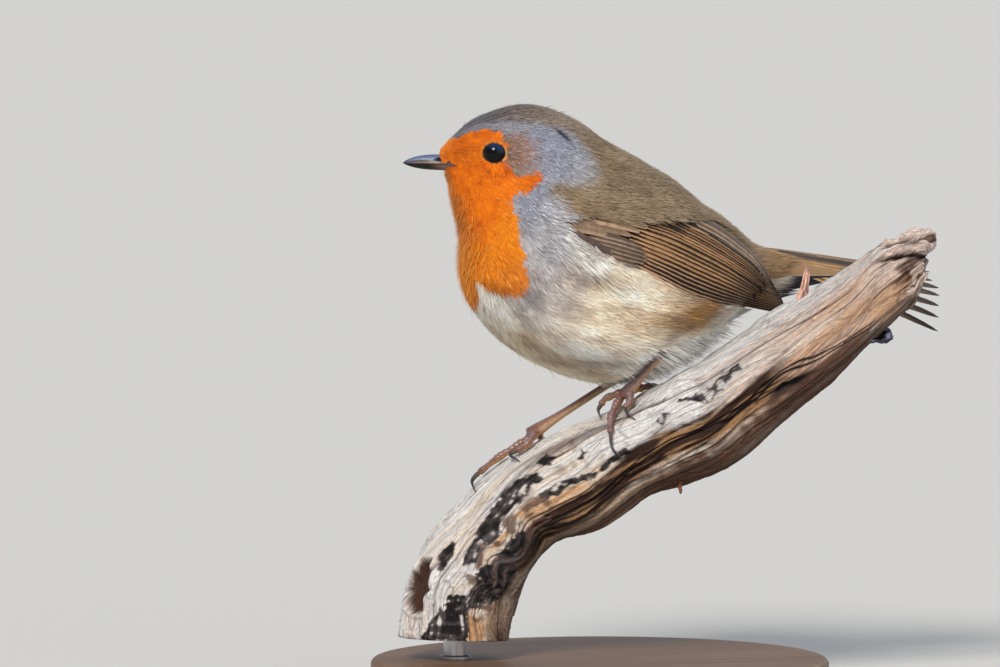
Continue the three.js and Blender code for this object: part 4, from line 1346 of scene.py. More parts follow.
@dataclass
class Eyes:
    """Two glossy eyeballs with dark lids."""

    body: Body
    x: float = -26.1
    z: float = 131.2
    radius: float = 3.3
    proud: float = 1.4
    opening: Pair = (2.62, 2.28)
    lid_reach: float = 3.75
    dome_reach: float = 3.1
    pupil: Triple = (0.001, 0.001, 0.0015)
    iris: Triple = (0.006, 0.003, 0.002)
    painted_sky_reflection: Triple = (0.01, 0.026, 0.075)
    lid_bare: Triple = (0.01, 0.008, 0.007)
    lid_covered: Triple = (0.5, 0.13, 0.01)
    ring_feathers: int = 190
    rows: int = 36
    columns: int = 56

    def centre(self, side: int) -> Array:
        """Middle of an eyeball; side is +1 for the left, -1 for the right."""
        half = self.body.half_width(np.array(self.x), np.array(self.z), *HEAD_RINGS)
        return self.body.head_point(self.x, -side * (float(half) + self.proud - self.radius),
                                    self.z)

    def covers(self, level: Array, margin: float) -> Array:
        """1 where a point of the unturned head lies over an eye's opening, else 0.

        Args:
            level: points of the unturned head or body.
            margin: how far past the opening still counts.

        Returns:
            One number a point.
        """
        wide, high = self.opening
        away = np.hypot((level[..., 0] - self.x) / (wide + margin),
                        (level[..., 2] - self.z) / (high + margin))
        return ((away < 1) & (level[..., 0] < 0)).astype(float)

    def directions(self, side: int) -> tuple[Array, Array, Array]:
        """Where an eye looks, and its level and upright directions.

        Args:
            side: +1 for the left eye, -1 for the right.

        Returns:
            Axis, level and upright unit directions.
        """
        straight = self.body.head_point(self.x - 0.12, -side * 1.0, self.z + 0.05)
        axis = unit(straight - self.body.head_point(self.x, 0.0, self.z))
        level = unit(np.cross((0, 0, 1.0), axis))
        return axis, level, np.cross(axis, level)

    def clear(self, points: Array) -> Array:
        """Whether points stay out of the openings of both eyes.

        Args:
            points: places in millimetres, shape (n, 3).

        Returns:
            One truth value a point.
        """
        free = np.ones(len(points), bool)
        for side in (1, -1):
            axis, level, high = self.directions(side)
            offset = points - self.centre(side)
            away = np.hypot(offset @ level / (self.opening[0] + 0.1),
                            offset @ high / (self.opening[1] + 0.1))
            free &= ~((away < 1) & (offset @ axis > 0))
        return free

    def swerve(self, level: Array, v: Array) -> Array:
        """Extra slant that makes the feathers part round the eye: strongest just in front.

        Args:
            level: points of the unturned head or body.
            v: angles round the body in radians, 0 on the back.

        Returns:
            Turns in radians.
        """
        dx, dz = level[..., 0] - self.x, level[..., 2] - self.z
        away = np.hypot(dx, dz)
        push = bump(away, 0, 4.2) * 0.9 * np.tanh(dz / 1.5)
        left = np.sin(v) > 0
        return np.where(left, push, -push) * (level[..., 0] < 0)

    def build(self, finishes: Finishes) -> None:
        """Sphere points centre + radius·(sin a cos b, sin a sin b, cos a) with the pole on the
        axis, a thin brown iris near it, and a lid ring whose rim is an ellipse.

        Args:
            finishes: all finishes.
        """
        for name, side in (("left", 1), ("right", -1)):
            centre = self.centre(side)
            axis, level, high = self.directions(side)
            a = np.linspace(0.02, math.pi - 0.02, self.rows)
            line = centre + axis * (np.cos(a) * self.radius)[:, None]
            radii = np.repeat((np.sin(a) * self.radius)[:, None], self.columns, 1)
            sides, ups = (np.repeat(d[None], self.rows, 0) for d in (level, high))
            points, faces = tube(line, sides, ups, radii, radii)
            work = Patchwork()
            away = np.degrees(np.arccos(np.clip((points - centre) @ axis / self.radius, -1, 1)))
            iris = window(away, 34, 37, 50, 56)
            tint = mix(self.pupil, self.iris, iris)
            # the upper part of the ball is tinted blue as a painted reflection of the sky
            above = ramp(0.1, 0.6, (points - centre) @ (high + 0.35 * level) / self.radius)
            tint = mix(tint, self.painted_sky_reflection, above)
            work.add(points, faces, tint)
            settle(work.build(f"eyeball_{name}", finishes.eye), Slot.EYE, f"eye_{name}")
            self.lids(name, centre, axis, level, high, finishes.lid)

    def lids(self, name: str, centre: Array, axis: Array, level: Array, high: Array,
             material: Material) -> None:
        """Lid skin: a closed shell over the ball from the elliptic opening outwards.

        Its reach from the axis goes from the ellipse to past the ball, its height follows the
        ball 0.1 mm above, its rim is rolled, and it drops under the feathers at its outer edge.

        Args:
            name: which eye.
            centre: the eyeball's middle.
            axis: where the eye looks.
            level: level direction across the axis.
            high: upright direction across the axis.
            material: the finish.
        """
        turn = np.arange(96) * TAU / 96
        wide, tall = self.opening
        rim = 1 / np.hypot(np.cos(turn) / wide, np.sin(turn) / tall)
        work = Patchwork()
        loop = np.linspace(0, TAU, 20, endpoint=False)
        across = 0.5 - 0.5 * np.cos(loop)
        crinkle = 0.02 * np.sin(22 * turn)[:, None] * (1 - across)
        reach = rim[:, None] + (self.lid_reach - rim[:, None]) * across + crinkle
        dome = np.sqrt(np.maximum(self.radius**2 - np.minimum(reach, self.dome_reach) ** 2, 0))
        dome = dome - 1.5 * np.maximum(reach - self.dome_reach, 0)
        height = dome + np.where(np.sin(loop) > 0, 0.14, -0.12) * np.abs(np.sin(loop)) ** 0.5
        flat = level * np.cos(turn)[:, None] + high * np.sin(turn)[:, None]
        ring = centre + flat[:, None] * reach[..., None] + axis * height[..., None]
        points = ring.reshape(-1, 3)
        faces = np.concatenate([grid_faces(len(turn), len(loop), wrap=True),
                                self.closing(len(turn), len(loop))])
        tint = mix(self.lid_bare, self.lid_covered,
                   np.broadcast_to(ramp(0.1, 0.35, across), reach.shape))
        work.add(points, outward(points, [faces]), tint.reshape(-1, 3))
        settle(work.build(f"lid_{name}", material), Slot.EYE)

    def brow(self, level: Array) -> Array:
        """How far feathers near an eye rise to lap over its lids: a ring-shaped bump."""
        away = np.hypot(level[..., 0] - self.x, level[..., 2] - self.z)
        return 0.75 * bump(away, 2.5, 0.9) * (level[..., 0] < 0)

    def closing(self, rows: int, columns: int) -> Array:
        """Quads that join the last ring of a closed loop to its first.

        Args:
            rows: how many rows of points.
            columns: how many points a row.

        Returns:
            Quads, one row a face.
        """
        ring = np.arange(columns)
        after = (ring + 1) % columns
        last = (rows - 1) * columns
        return np.stack([last + ring, last + after, after, ring], -1)

    def ring(self, material: Material) -> Piece:
        """Tiny pale feathers that stand round each eye, brightest behind it.

        Args:
            material: the finish.

        Returns:
            The piece with both rings.
        """
        rng = np.random.default_rng(515)
        work, locks, count = Patchwork(), Locks(), self.ring_feathers
        for side in (1, -1):
            axis, level, high = self.directions(side)
            centre = self.centre(side)
            turn = rng.uniform(0, TAU, count)
            rim = 1 / np.hypot(np.cos(turn) / self.opening[0], np.sin(turn) / self.opening[1])
            out = level * np.cos(turn)[:, None] + high * np.sin(turn)[:, None]
            lines = []
            length = rng.uniform(0.7, 1.15, count)
            for share, lift in ((0.0, 0.1), (0.5, 0.24), (1.0, 0.1)):
                reach = rim + 0.12 + length * share
                dome = np.sqrt(np.maximum(self.radius**2 - reach**2, 0.0))
                dome = dome - 0.25 * np.maximum(reach - 3.0, 0)
                sway = np.cross(axis, out) * (0.3 * share * rng.normal(0, 1, count))[:, None]
                height = np.maximum(dome, 1.65) + lift
                lines.append(centre + out * reach[:, None] + sway + axis * height[:, None])
            width = rng.uniform(0.09, 0.15, count)
            across = np.cross(axis, out)
            corners = locks.corners(*lines, across, np.broadcast_to(axis, out.shape), width,
                                    width * 0.4)
            behind = np.cos(turn - math.radians(-35 if side > 0 else 215))
            tone = mix((0.8, 0.22, 0.02), (0.95, 0.55, 0.25),
                       ramp(0.1, 0.9, behind) * rng.random(count))
            # painted shade at the root of each ring feather and painted light at its tip
            tint = tone[:, None] * np.array([0.6, 0.6, 0.6, 1, 1, 1, 1.1])[:, None]
            place = np.stack([0.3 + 0.05 * turn, np.full(count, 0.2)], -1)
            locks.add(work, corners, tint, place, np.broadcast_to(axis, out.shape), across)
        return settle(work.build("eye_ring", material, patches=True), Slot.PLUMAGE)


# ---- bill ------------------------------------------------------------------------------


@dataclass
class Bill:
    """Two mandibles that meet along the gape, with slit nostrils and rictal bristles."""

    body: Body
    root: float = -38.4
    length: float = 10.1
    gape: float = 128.2
    height: Pair = (2.1, 1.6)
    fullness: tuple[Pair, Pair] = ((2.8, 0.8), (3.2, 0.9))
    half: float = 2.1
    back: float = 0.31
    rows: int = 130
    columns: int = 52

    def mandible(self, way: int, material: Material) -> Piece:
        """Half an oval whose arc runs over the culmen (way +1) or under the chin (way -1).

        Its height is (1 - share^a)^b of the full height, its width narrows as (1 - share)^0.85
        and widens behind the root to the face; a slit nostril sinks into the upper one.

        Args:
            way: +1 for the upper mandible, -1 for the lower.
            material: the finish.

        Returns:
            The mandible.
        """
        share = np.linspace(-self.back, 1, self.rows)
        ahead = np.clip(share, 0, 1)
        x = self.root - share * self.length
        a, b = self.fullness[0 if way > 0 else 1]
        deep = self.height[0 if way > 0 else 1] * (1 - ahead**a) ** b + 0.05
        deep = deep * (1 - (0.9 if way > 0 else 0.75) * ramp(-0.02, -self.back, share))
        face = self.body.half_width(x, np.full(x.shape, self.gape), *HEAD_RINGS)
        half = self.half * (1 - ahead) ** 0.85 * (1 if way > 0 else 0.93) + 0.1
        half = half + (face - 0.12 - half) * ramp(0.14, -0.12, share)
        line = self.gape + 0.1 * np.sin(math.pi * np.clip(share, 0, 1)) + 0.16 * ahead**2
        angle = np.linspace(0, math.pi, self.columns)
        flat = np.linspace(math.pi, 0, 14)[1:-1]
        s, rise = share[:, None], np.sin(angle) ** (0.85 if way > 0 else 1.0)
        nose = bump(s, 0.12, 0.085) * bump(rise, 0.52, 0.16)
        groove = bump(s, 0.2, 0.2) * bump(rise, 0.5, 0.28)
        dent = (0.5 * nose + 0.16 * groove) * (way > 0)
        y_arc = half[:, None] * np.cos(angle) * (1 - 0.12 * np.sin(angle) ** 4)
        y_arc = y_arc - np.sign(np.cos(angle)) * dent
        z_arc = 0.02 + deep[:, None] * rise
        lip = 0.13 * bump(rise, 0, 0.12) * (way > 0)
        y = np.concatenate([y_arc + np.sign(np.cos(angle)) * lip,
                            half[:, None] * np.cos(flat) * 0.97], 1)
        up = np.concatenate([z_arc - lip, np.full((self.rows, len(flat)), 0.02)], 1)
        ring = self.body.head_point(x[:, None] + 0 * y, y, line[:, None] + way * up)
        columns = ring.shape[1]
        points = capped(ring)
        tone = self.tone(way, s + 0 * y, np.clip(up / deep[:, None], 0, 1),
                         np.concatenate([nose, np.zeros((self.rows, len(flat)))], 1))
        work = Patchwork()
        work.add(points, outward(points, tube_faces(self.rows, columns)), capped(tone))
        name = "upper" if way > 0 else "lower"
        return settle(work.build(f"mandible_{name}", material), Slot.BILL, f"bill_{name}")

    def tone(self, way: int, share: Array, height: Array, hole: Array) -> Array:
        """Horn colours: a painted blue-grey sky reflection on the sides under a dark culmen, a
        paler cutting edge, a dark lower mandible with a flesh-brown base, and black painted shade
        in the nostril.

        Args:
            way: +1 for the upper mandible, -1 for the lower.
            share: share of the length from root to tip.
            height: share of the height from the cutting edge.
            hole: how deep in the nostril, 0 to 1.

        Returns:
            Colours, one row a place.
        """
        dark, painted_sky_sheen = np.array([0.02, 0.021, 0.03]), np.array([0.09, 0.14, 0.26])
        flesh, black = np.array([0.2, 0.105, 0.08]), np.array([0.002, 0.002, 0.002])
        if way > 0:
            # the blue-grey on the sides is a painted reflection of the sky
            tone = mix(dark, painted_sky_sheen, ramp(0.25, 0.6, height) * ramp(1.0, 0.8, share)
                       * (1 - 0.3 * height**6))
            tone = mix(tone, flesh, ramp(0.34, 0.1, height) * ramp(0.95, 0.6, share) * 0.75)
        else:
            tone = mix(black * 1.5, flesh, ramp(0.42, -0.02, share) * ramp(1.0, 0.5, height) * 0.9)
        # the nostril's black is painted shade in the slit
        return mix(tone, black, np.clip(hole * 1.8, 0, 1) * (way > 0))

    def bristles(self, material: Material) -> Piece:
        """Fine dark bristles that fan forward and down from the gape.

        Args:
            material: the finish.

        Returns:
            The piece with all bristles.
        """
        rng = np.random.default_rng(404)
        work, locks, count = Patchwork(), Locks(), 12
        for side in (1, -1):
            x = -37.0 + rng.uniform(-0.9, 1.6, count)
            z = 127.8 + rng.uniform(-1.2, 0.9, count)
            half = self.body.half_width(x, z, *HEAD_RINGS)
            roots = self.body.head_point(x, -side * (half - 0.2), z)
            reach = rng.uniform(1.6, 2.8, count)
            flow = unit(np.stack([-0.85 + rng.normal(0, 0.15, count),
                                  -side * (0.3 + rng.normal(0, 0.12, count)),
                                  -0.35 + rng.normal(0, 0.2, count)], -1))
            knees = roots + flow * (reach * 0.5)[:, None]
            tips = knees + unit(flow + np.array([0, 0, -0.35])) * (reach * 0.5)[:, None]
            up = np.broadcast_to(np.array([0.0, 0.0, 1.0]), roots.shape)
            corners = locks.corners(roots, knees, tips, unit(np.cross(up, flow)), up,
                                    np.full(count, 0.055), np.full(count, 0.04))
            work.add(corners.reshape(-1, 3), repeat_faces(locks.faces(), locks.corner_count, count),
                     np.array([0.012, 0.01, 0.01]))
        return settle(work.build("bristles", material), Slot.PLUMAGE)


# ---- vanes -----------------------------------------------------------------------------


@dataclass(frozen=True)
class VaneStyle:
    """Colours and build of one sort of stiff feather."""

    outer: Triple
    web: Triple
    inner: Triple
    shaft: Triple
    tip: Triple
    edge_share: float = 0.5
    point: float = 2.0
    thickness: float = 0.05
    droop: float = 0.05
    rim: float = 1.0
    narrows: float = 0.0
    tip_start: float = 0.9
    tip_share: float = 0.6


@dataclass
class Vanes:
    """Many stiff feathers laid on a carrier surface, as one closed grid each."""

    rows: int = 26
    columns: int = 15

    def add(self, work: Patchwork, place: Callable[[Array, Array, Array], Array], centre: Array,
            outer: Array, inner: Array, lift: Array, style: VaneStyle, seed: int) -> None:
        """Adds feathers to a patchwork.

        Along each feather q runs from 0 to 1; across it w runs from -1, the outer edge, to +1,
        the inner edge. The half widths fall to nothing at the tip as √(1 - q^point), the web
        droops by droop·w², the shaft is a raised line at w = 0, and the edges are ragged.

        Args:
            work: takes the points and faces.
            place: carrier surface: (first, second, lift) to points in millimetres.
            centre: shaft line on the carrier's two coordinates, shape (feathers, rows, 2).
            outer, inner: half widths each side of the shaft in carrier millimetres, (feathers,).
            lift: height of each feather over the carrier, (feathers,).
            style: colours and build.
            seed: picks the raggedness.
        """
        count, rows, columns = centre.shape[0], self.rows, self.columns
        q = np.linspace(0, 1, rows)[None, :, None]
        w = (2 * np.linspace(0, 1, columns) ** 1.7 - 1)[None, None, :]
        rng = np.random.default_rng(seed)
        course = np.gradient(centre, axis=1)
        course = course / np.maximum(np.linalg.norm(course, axis=-1, keepdims=True), 1e-9)
        across = np.stack([-course[..., 1], course[..., 0]], -1)
        taper = np.sqrt(np.clip(1 - q**style.point, 0, 1))
        taper = taper * (0.35 + 0.65 * ramp(0, 0.18, q)) + 0.015
        half = np.where(w < 0, outer[:, None, None], inner[:, None, None]) * taper
        ragged = 1 + 0.035 * rng.normal(0, 1, (count, rows, 2))
        half = half * np.where(w < 0, ragged[..., :1], ragged[..., 1:])
        flat = centre[:, :, None] + across[:, :, None] * (w * half)[..., None]
        shaft = bump(w, 0, 0.14) * 0.06 * (1 - 0.7 * q)
        body = style.thickness / 2 * (1 - 0.6 * np.abs(w)) + 0.012
        rise = lift[:, None, None] * (0.3 + 0.7 * ramp(0.0, 0.35, q))
        rise = rise - style.droop * w * w * (0.3 + 0.7 * q) + 0 * half
        top = place(flat[..., 0], flat[..., 1], rise + body + shaft)
        under = place(flat[..., 0], flat[..., 1], rise - body)
        points = np.stack([top, under], 1).reshape(-1, 3)
        each = 2 * rows * columns
        one = outward(points[:each], [slab_faces(rows, columns)])
        gap = np.full((count, rows), 2 * np.mean(outer))
        if count > 1:
            gap[:-1] = np.linalg.norm(np.diff(centre, axis=0), axis=-1)
            gap[-1] = gap[-2]
        along = q[..., 0]
        band = style.edge_share * rng.uniform(0.7, 1.3, (count, 1))
        band = band * np.minimum(gap, 2 * outer[:, None])
        band = band * (1 - style.narrows * ramp(0.55, 1.0, along))
        band = band * (1 + 0.9 * ramp(0.3, 0.05, along))
        away = (w + 1) * half * (w < 0) + (w >= 0) * 9
        edge = ramp(1.15, 0.75, away / band[..., None])
        tint = mix(style.web, style.inner, ramp(-0.1, 0.25, w) + 0 * half)
        tone = 1 + (style.rim - 1) * ramp(0.45, 0.1, away / band[..., None])
        hue = np.array(style.outer) * rng.uniform(0.8, 1.2, (count, 1, 1, 1))
        hue = hue * (1 - 0.45 * style.narrows * q[..., None] ** 2)
        tint = mix(tint, hue * tone[..., None], edge)
        tint = mix(tint, style.tip, ramp(style.tip_start, 1.0, q) * style.tip_share + 0 * half)
        tint = mix(tint, style.shaft, bump(w, 0, 0.13) + 0 * half)
        barbs = 1 + 0.1 * rng.normal(0, 1, (count, rows, 1, 1))
        barbs = barbs + 0.06 * rng.normal(0, 1, (count, 1, 1, 1))
        # the under sheet takes the top colour at 0.7 as painted shade
        tint = np.stack([tint * barbs, tint * barbs * 0.7], 1).reshape(-1, 3)
        work.add(points, repeat_faces(one, each, count), tint)


def bend_lines(starts: Array, ends: Array, sag: Array, rows: int) -> Array:
    """Lines from starts to ends with a sideways sag of sin(πq): shape (n, rows, 2).

    Args:
        starts: first points, shape (n, 2).
        ends: last points.
        sag: sideways sag of each line.
        rows: how many rows of points.

    Returns:
        Points of shape (n, rows, 2).
    """
    q = np.linspace(0, 1, rows)[None, :, None]
    span = ends - starts
    across = np.stack([-span[:, 1], span[:, 0]], -1)
    across = across / np.maximum(np.linalg.norm(across, axis=1, keepdims=True), 1e-9)
    bow = sag[:, None, None] * np.sin(math.pi * q)
    return starts[:, None] + span[:, None] * q + across[:, None] * bow


# ---- wings -----------------------------------------------------------------------------


@dataclass(frozen=True)
class Series:
    """Like feathers that fan between a first and a last one.

    Each line is a row of side-view (x, z) places from root to tip.
    """

    first: Outline
    last: Outline
    count: int
    webs: Pair
    lift: Pair
    style: VaneStyle
    rows: int = 30
    bulge: float = 0.0

    def lines(self) -> Array:
        """Shaft lines of all feathers: the first and last blended by each feather's share.

        Returns:
            Lines of shape (count, rows, 2).
        """
        share = (np.arange(self.count) / max(self.count - 1, 1))[:, None, None]
        marks = np.array(self.first)[None] * (1 - share) + np.array(self.last)[None] * share
        ahead = unit(marks[:, -1] - marks[:, -2])
        marks[:, -1] += ahead * self.bulge * (1 - (2 * share[:, 0] - 1) ** 2)
        place = np.linspace(0, len(self.first) - 1, self.rows)
        return np.stack([spline(row, place) for row in marks])


SOOT = (0.012, 0.008, 0.006)
FLIGHT = VaneStyle(outer=(0.285, 0.155, 0.072), web=SOOT, inner=SOOT, shaft=SOOT,
                   tip=(0.07, 0.05, 0.04),
                   edge_share=0.5, point=9.0, rim=1.5, narrows=0.6)
PRIMARY = VaneStyle(outer=(0.31, 0.17, 0.095), web=SOOT, inner=SOOT, shaft=SOOT,
                    tip=(0.05, 0.038, 0.03),
                    edge_share=0.28, point=9.0, rim=2.3, narrows=0.6)
TERTIAL = VaneStyle(outer=(0.34, 0.225, 0.14), web=(0.22, 0.155, 0.115), inner=(0.13, 0.085, 0.058),
                    shaft=(0.06, 0.04, 0.03), tip=(0.07, 0.05, 0.04), edge_share=0.34, point=5.0,
                    rim=1.3,
                    narrows=0.5)
SLATE_EDGE = VaneStyle(outer=(0.09, 0.09, 0.13), web=(0.19, 0.13, 0.085), inner=(0.2, 0.14, 0.09),
                       shaft=(0.06, 0.06, 0.09), tip=(0.12, 0.1, 0.1), edge_share=0.24, point=5.0)
COVERT = VaneStyle(outer=(0.31, 0.205, 0.13), web=(0.24, 0.16, 0.1), inner=(0.2, 0.13, 0.085),
                   shaft=(0.16, 0.105, 0.07), tip=(0.5, 0.38, 0.26), edge_share=0.7, point=2.0)
PRIMARY_COVERT = VaneStyle(outer=(0.23, 0.155, 0.11), web=(0.09, 0.06, 0.045),
                           inner=(0.08, 0.055, 0.04),
                           shaft=(0.08, 0.055, 0.04), tip=(0.42, 0.31, 0.23), edge_share=0.8,
                           point=2.0, rim=1.2)
ALULA = VaneStyle(outer=(0.16, 0.1, 0.085), web=(0.1, 0.063, 0.055), inner=(0.085, 0.053, 0.046),
                  shaft=(0.04, 0.026, 0.022), tip=(0.3, 0.22, 0.18), edge_share=0.16, point=4.0,
                  rim=2.4)


@dataclass
class Wing:
    """One folded wing: a dark bed under flight feathers, tertials, coverts and alula.

    Places on it are (x, z) of the side view; the carrier gives the depth.
    """

    body: Body
    markings: Markings
    side: int
    upper: Outline = (
        (-14.0, 116.4), (-7.0, 116.0), (1.5, 114.5), (14.0, 115.9), (25.0, 113.7), (34.2, 106.9),
        (43.0, 94.6))
    lower: Outline = (
        (-13.4, 112.0), (-6.4, 107.0), (2.5, 103.3), (12.0, 98.9), (22.5, 95.1), (33.0, 92.9),
        (43.3, 91.4))
    tip_spread: float = 12.0
    leaves_flank: Pair = (0.55, 0.95)
    rows: int = 44
    columns: int = 18
    flight: tuple[Series, ...] = (
        Series(((0.0, 105.3), (7.6, 102.3), (14.1, 99.1), (21.4, 96.6), (30.5, 94.6), (43.0, 91.6)),
               ((0.6, 107.8), (8.2, 105.0), (15.0, 101.9), (22.5, 98.9), (31.0, 96.2),
                (43.5, 92.9)),
               4, (0.8, 1.7), (0.05, 0.35), PRIMARY, 40),
        Series(((-1.0, 109.4), (8.4, 106.0), (15.4, 102.9), (22.8, 99.8), (31.2, 96.9),
                (43.4, 93.3)),
               ((0.6, 113.9), (10.3, 110.8), (17.2, 107.7), (24.3, 104.2), (31.6, 100.2),
                (42.2, 95.3)),
               6, (0.9, 1.7), (0.44, 0.9), FLIGHT, 40),
        Series(((1.6, 114.5), (11.0, 111.7), (17.8, 108.7), (24.6, 105.2), (31.8, 101.1),
                (41.6, 96.0)),
               ((8.4, 116.4), (14.2, 114.9), (20.0, 112.4), (26.4, 108.6), (32.6, 104.2),
                (39.6, 98.6)),
               7, (0.8, 1.6), (0.98, 1.5), FLIGHT, 40),
        Series(((7.4, 115.9), (14.2, 114.5), (20.3, 112.1), (26.8, 108.6), (32.8, 104.3),
                (39.2, 98.6)),
               ((11.5, 117.2), (17.4, 115.8), (22.6, 113.6), (28.2, 110.3), (33.6, 105.9),
                (39.2, 99.4)),
               3, (0.62, 1.0), (1.5, 1.64), TERTIAL, 36),
        Series(((12.4, 117.3), (18.0, 116.3), (23.0, 114.3), (28.4, 111.1), (33.8, 106.5),
                (39.2, 99.9)),
               ((12.4, 117.3), (18.0, 116.3), (23.0, 114.3), (28.4, 111.1), (33.8, 106.5),
                (39.2, 99.9)),
               1, (0.3, 0.6), (1.7, 1.7), SLATE_EDGE, 34))
    coverts: tuple[Series, ...] = (
        Series(((-11.5, 108.8), (-6.5, 106.9), (-2.4, 105.5), (1.6, 104.4)),
               ((-10.0, 112.6), (-5.4, 111.6), (-1.4, 110.4), (2.2, 109.0)),
               6, (0.55, 0.95), (0.62, 1.0), PRIMARY_COVERT, 26, 1.9),
        Series(((-17.0, 114.5), (-12.0, 113.6), (-7.0, 112.4), (-2.2, 110.8)),
               ((-8.5, 118.4), (-3.6, 117.7), (1.6, 116.2), (6.9, 114.3)),
               5, (1.1, 1.5), (0.9, 1.1), COVERT, 26),
        Series(((-15.4, 112.7), (-11.8, 110.8), (-8.6, 108.9), (-5.2, 107.2)),
               ((-15.4, 112.7), (-11.8, 110.8), (-8.6, 108.9), (-5.2, 107.2)),
               1, (1.35, 1.45), (1.3, 1.3), ALULA, 26))

    @property
    def name(self) -> str:
        """Which wing this is."""
        return "left" if self.side > 0 else "right"

    def spot(self, s: Array, t: Array) -> Array:
        """Side-view place (x, z) at share s from bend to tip and t from upper to lower edge."""
        over, under = spline(self.upper, s * 6), spline(self.lower, s * 6)
        return over + (under - over) * np.asarray(t)[..., None]

    def carrier(self, x: Array, z: Array, lift: Array) -> Array:
        """Point over the flank at side-view (x, z): the body's half width, easing to a fixed
        distance toward the wing tip, plus the lift.

        Args:
            x: places along the bird in millimetres.
            z: heights in millimetres.
            lift: height over the surface in millimetres.

        Returns:
            Points of shape (..., 3).
        """
        share = np.clip((x + 17) / 61.5, 0, 1)
        free = ramp(*self.leaves_flank, share)
        flank = self.body.half_width(x, z, *TRUNK_RINGS)
        depth = np.maximum(flank, flank * (1 - free) + self.tip_spread * free) + lift
        return np.stack([x, -self.side * depth, z], -1)

    def depth_in(self, level: Array) -> Array:
        """Distance of a body point inside this wing's outline in side view."""
        return inside([*self.upper, *self.lower[::-1]], level[..., 0], level[..., 2])

    def covers(self, level: Array, v: Array) -> Array:
        """1 where a body point on this side lies well under the wing."""
        return ((self.depth_in(level) > 1.6) & (np.sign(np.sin(v)) == self.side)).astype(float)

    def hides(self, root: Array, tip: Array, v: Array, chance: Array) -> Array:
        """Whether a lock would lie under the wing or poke through it.

        A lock may lap over the bend of the wing and over its upper edge, but not over the
        lower edge or the folded feathers.

        Args:
            root: the lock's root on the unturned body.
            tip: its tip there.
            v: angles round the body in radians, 0 on the back.
            chance: random number of each lock.

        Returns:
            One truth value a lock.
        """
        here = np.sign(np.sin(v)) == self.side
        at_root, at_tip = self.depth_in(root), self.depth_in(tip)
        lap = np.interp(tip[:, 0], (-14, -8, -3, 4, 14, 19, 25),
                        (2.4, 1.2, 1.0, 1.8, 3.0, 1.8, 0.5))
        below = np.interp(tip[:, 0], *zip(*self.lower))
        from_below = tip[:, 2] - below < 2.4
        lap = np.where(from_below & (tip[:, 0] > -11.5), 0.0, lap) * (0.45 + 0.55 * chance)
        return here & ((at_tip > lap) | (at_root > 1.6))

    def swell(self, level: Array, v: Array) -> Array:
        """How far the soft feathers rise to lap over the wing, nearing its upper and fore edge.

        Args:
            level: points of the unturned body.
            v: angles round the body in radians, 0 on the back.

        Returns:
            Rises in millimetres.
        """
        near = ramp(-7.5, -0.2, self.depth_in(level))
        above = ramp(-1.5, 2.5, level[..., 2] - np.interp(level[..., 0], *zip(*self.middle())))
        front = ramp(-5.0, -10.0, level[..., 0])
        rise = np.interp(level[..., 0], (-16, -8, 5, 30, 40), (1.7, 2.2, 2.3, 1.9, 0.3))
        return rise * near * np.maximum(above, front) * (np.sign(np.sin(v)) == self.side)

    def middle(self) -> list[Pair]:
        """Line half-way between the upper and lower edges."""
        return [((a[0] + b[0]) / 2, (a[1] + b[1]) / 2) for a, b in zip(self.upper, self.lower)]

    def place(self, x: Array, z: Array, lift: Array) -> Array:
        """Carrier with the wing's own swell of up to 0.5 mm in its middle."""
        deep = self.depth_in(np.stack([x, x, z], -1))
        return self.carrier(x, z, lift + 0.5 * ramp(0.0, 5.0, deep))

    def bed(self, work: Patchwork) -> None:
        """Closed bed under the feathers, its near-black standing for the shade between them: upper
        and lower sheets over (s, t).

        Args:
            work: takes the points and faces.
        """
        s, t = np.meshgrid(np.linspace(0.04, 0.97, self.rows),
                           np.linspace(0.08, 0.92, self.columns), indexing="ij")
        spot = self.spot(s, t)
        top = self.carrier(spot[..., 0], spot[..., 1], 0 * s - 0.25)
        under = self.carrier(spot[..., 0], spot[..., 1], 0 * s - 0.8)
        points = np.concatenate([top.reshape(-1, 3), under.reshape(-1, 3)])
        faces = slab_faces(self.rows, self.columns)
        # near-black as painted shade seen between the feathers
        work.add(points, outward(points, [faces]), np.array((0.03, 0.02, 0.015)))

    def build(self, finishes: Finishes) -> None:
        """Lays the feathers from the lowest layer up.

        Args:
            finishes: all finishes.
        """
        for name, rows, nodes in (("flight_feathers", self.flight, (f"wing_{self.name}",)),
                                  ("wing_coverts", self.coverts, ())):
            work = Patchwork()
            if nodes:
                self.bed(work)
            for k, row in enumerate(rows):
                lift = np.linspace(*row.lift, row.count)
                webs = (np.full(row.count, web) for web in row.webs)
                Vanes(rows=row.rows).add(work, self.place, row.lines(), *webs, lift, row.style,
                                         5 + k)
            settle(work.build(f"{name}_{self.name}", finishes.vane), Slot.PLUMAGE, *nodes)


# ---- tail ------------------------------------------------------------------------------


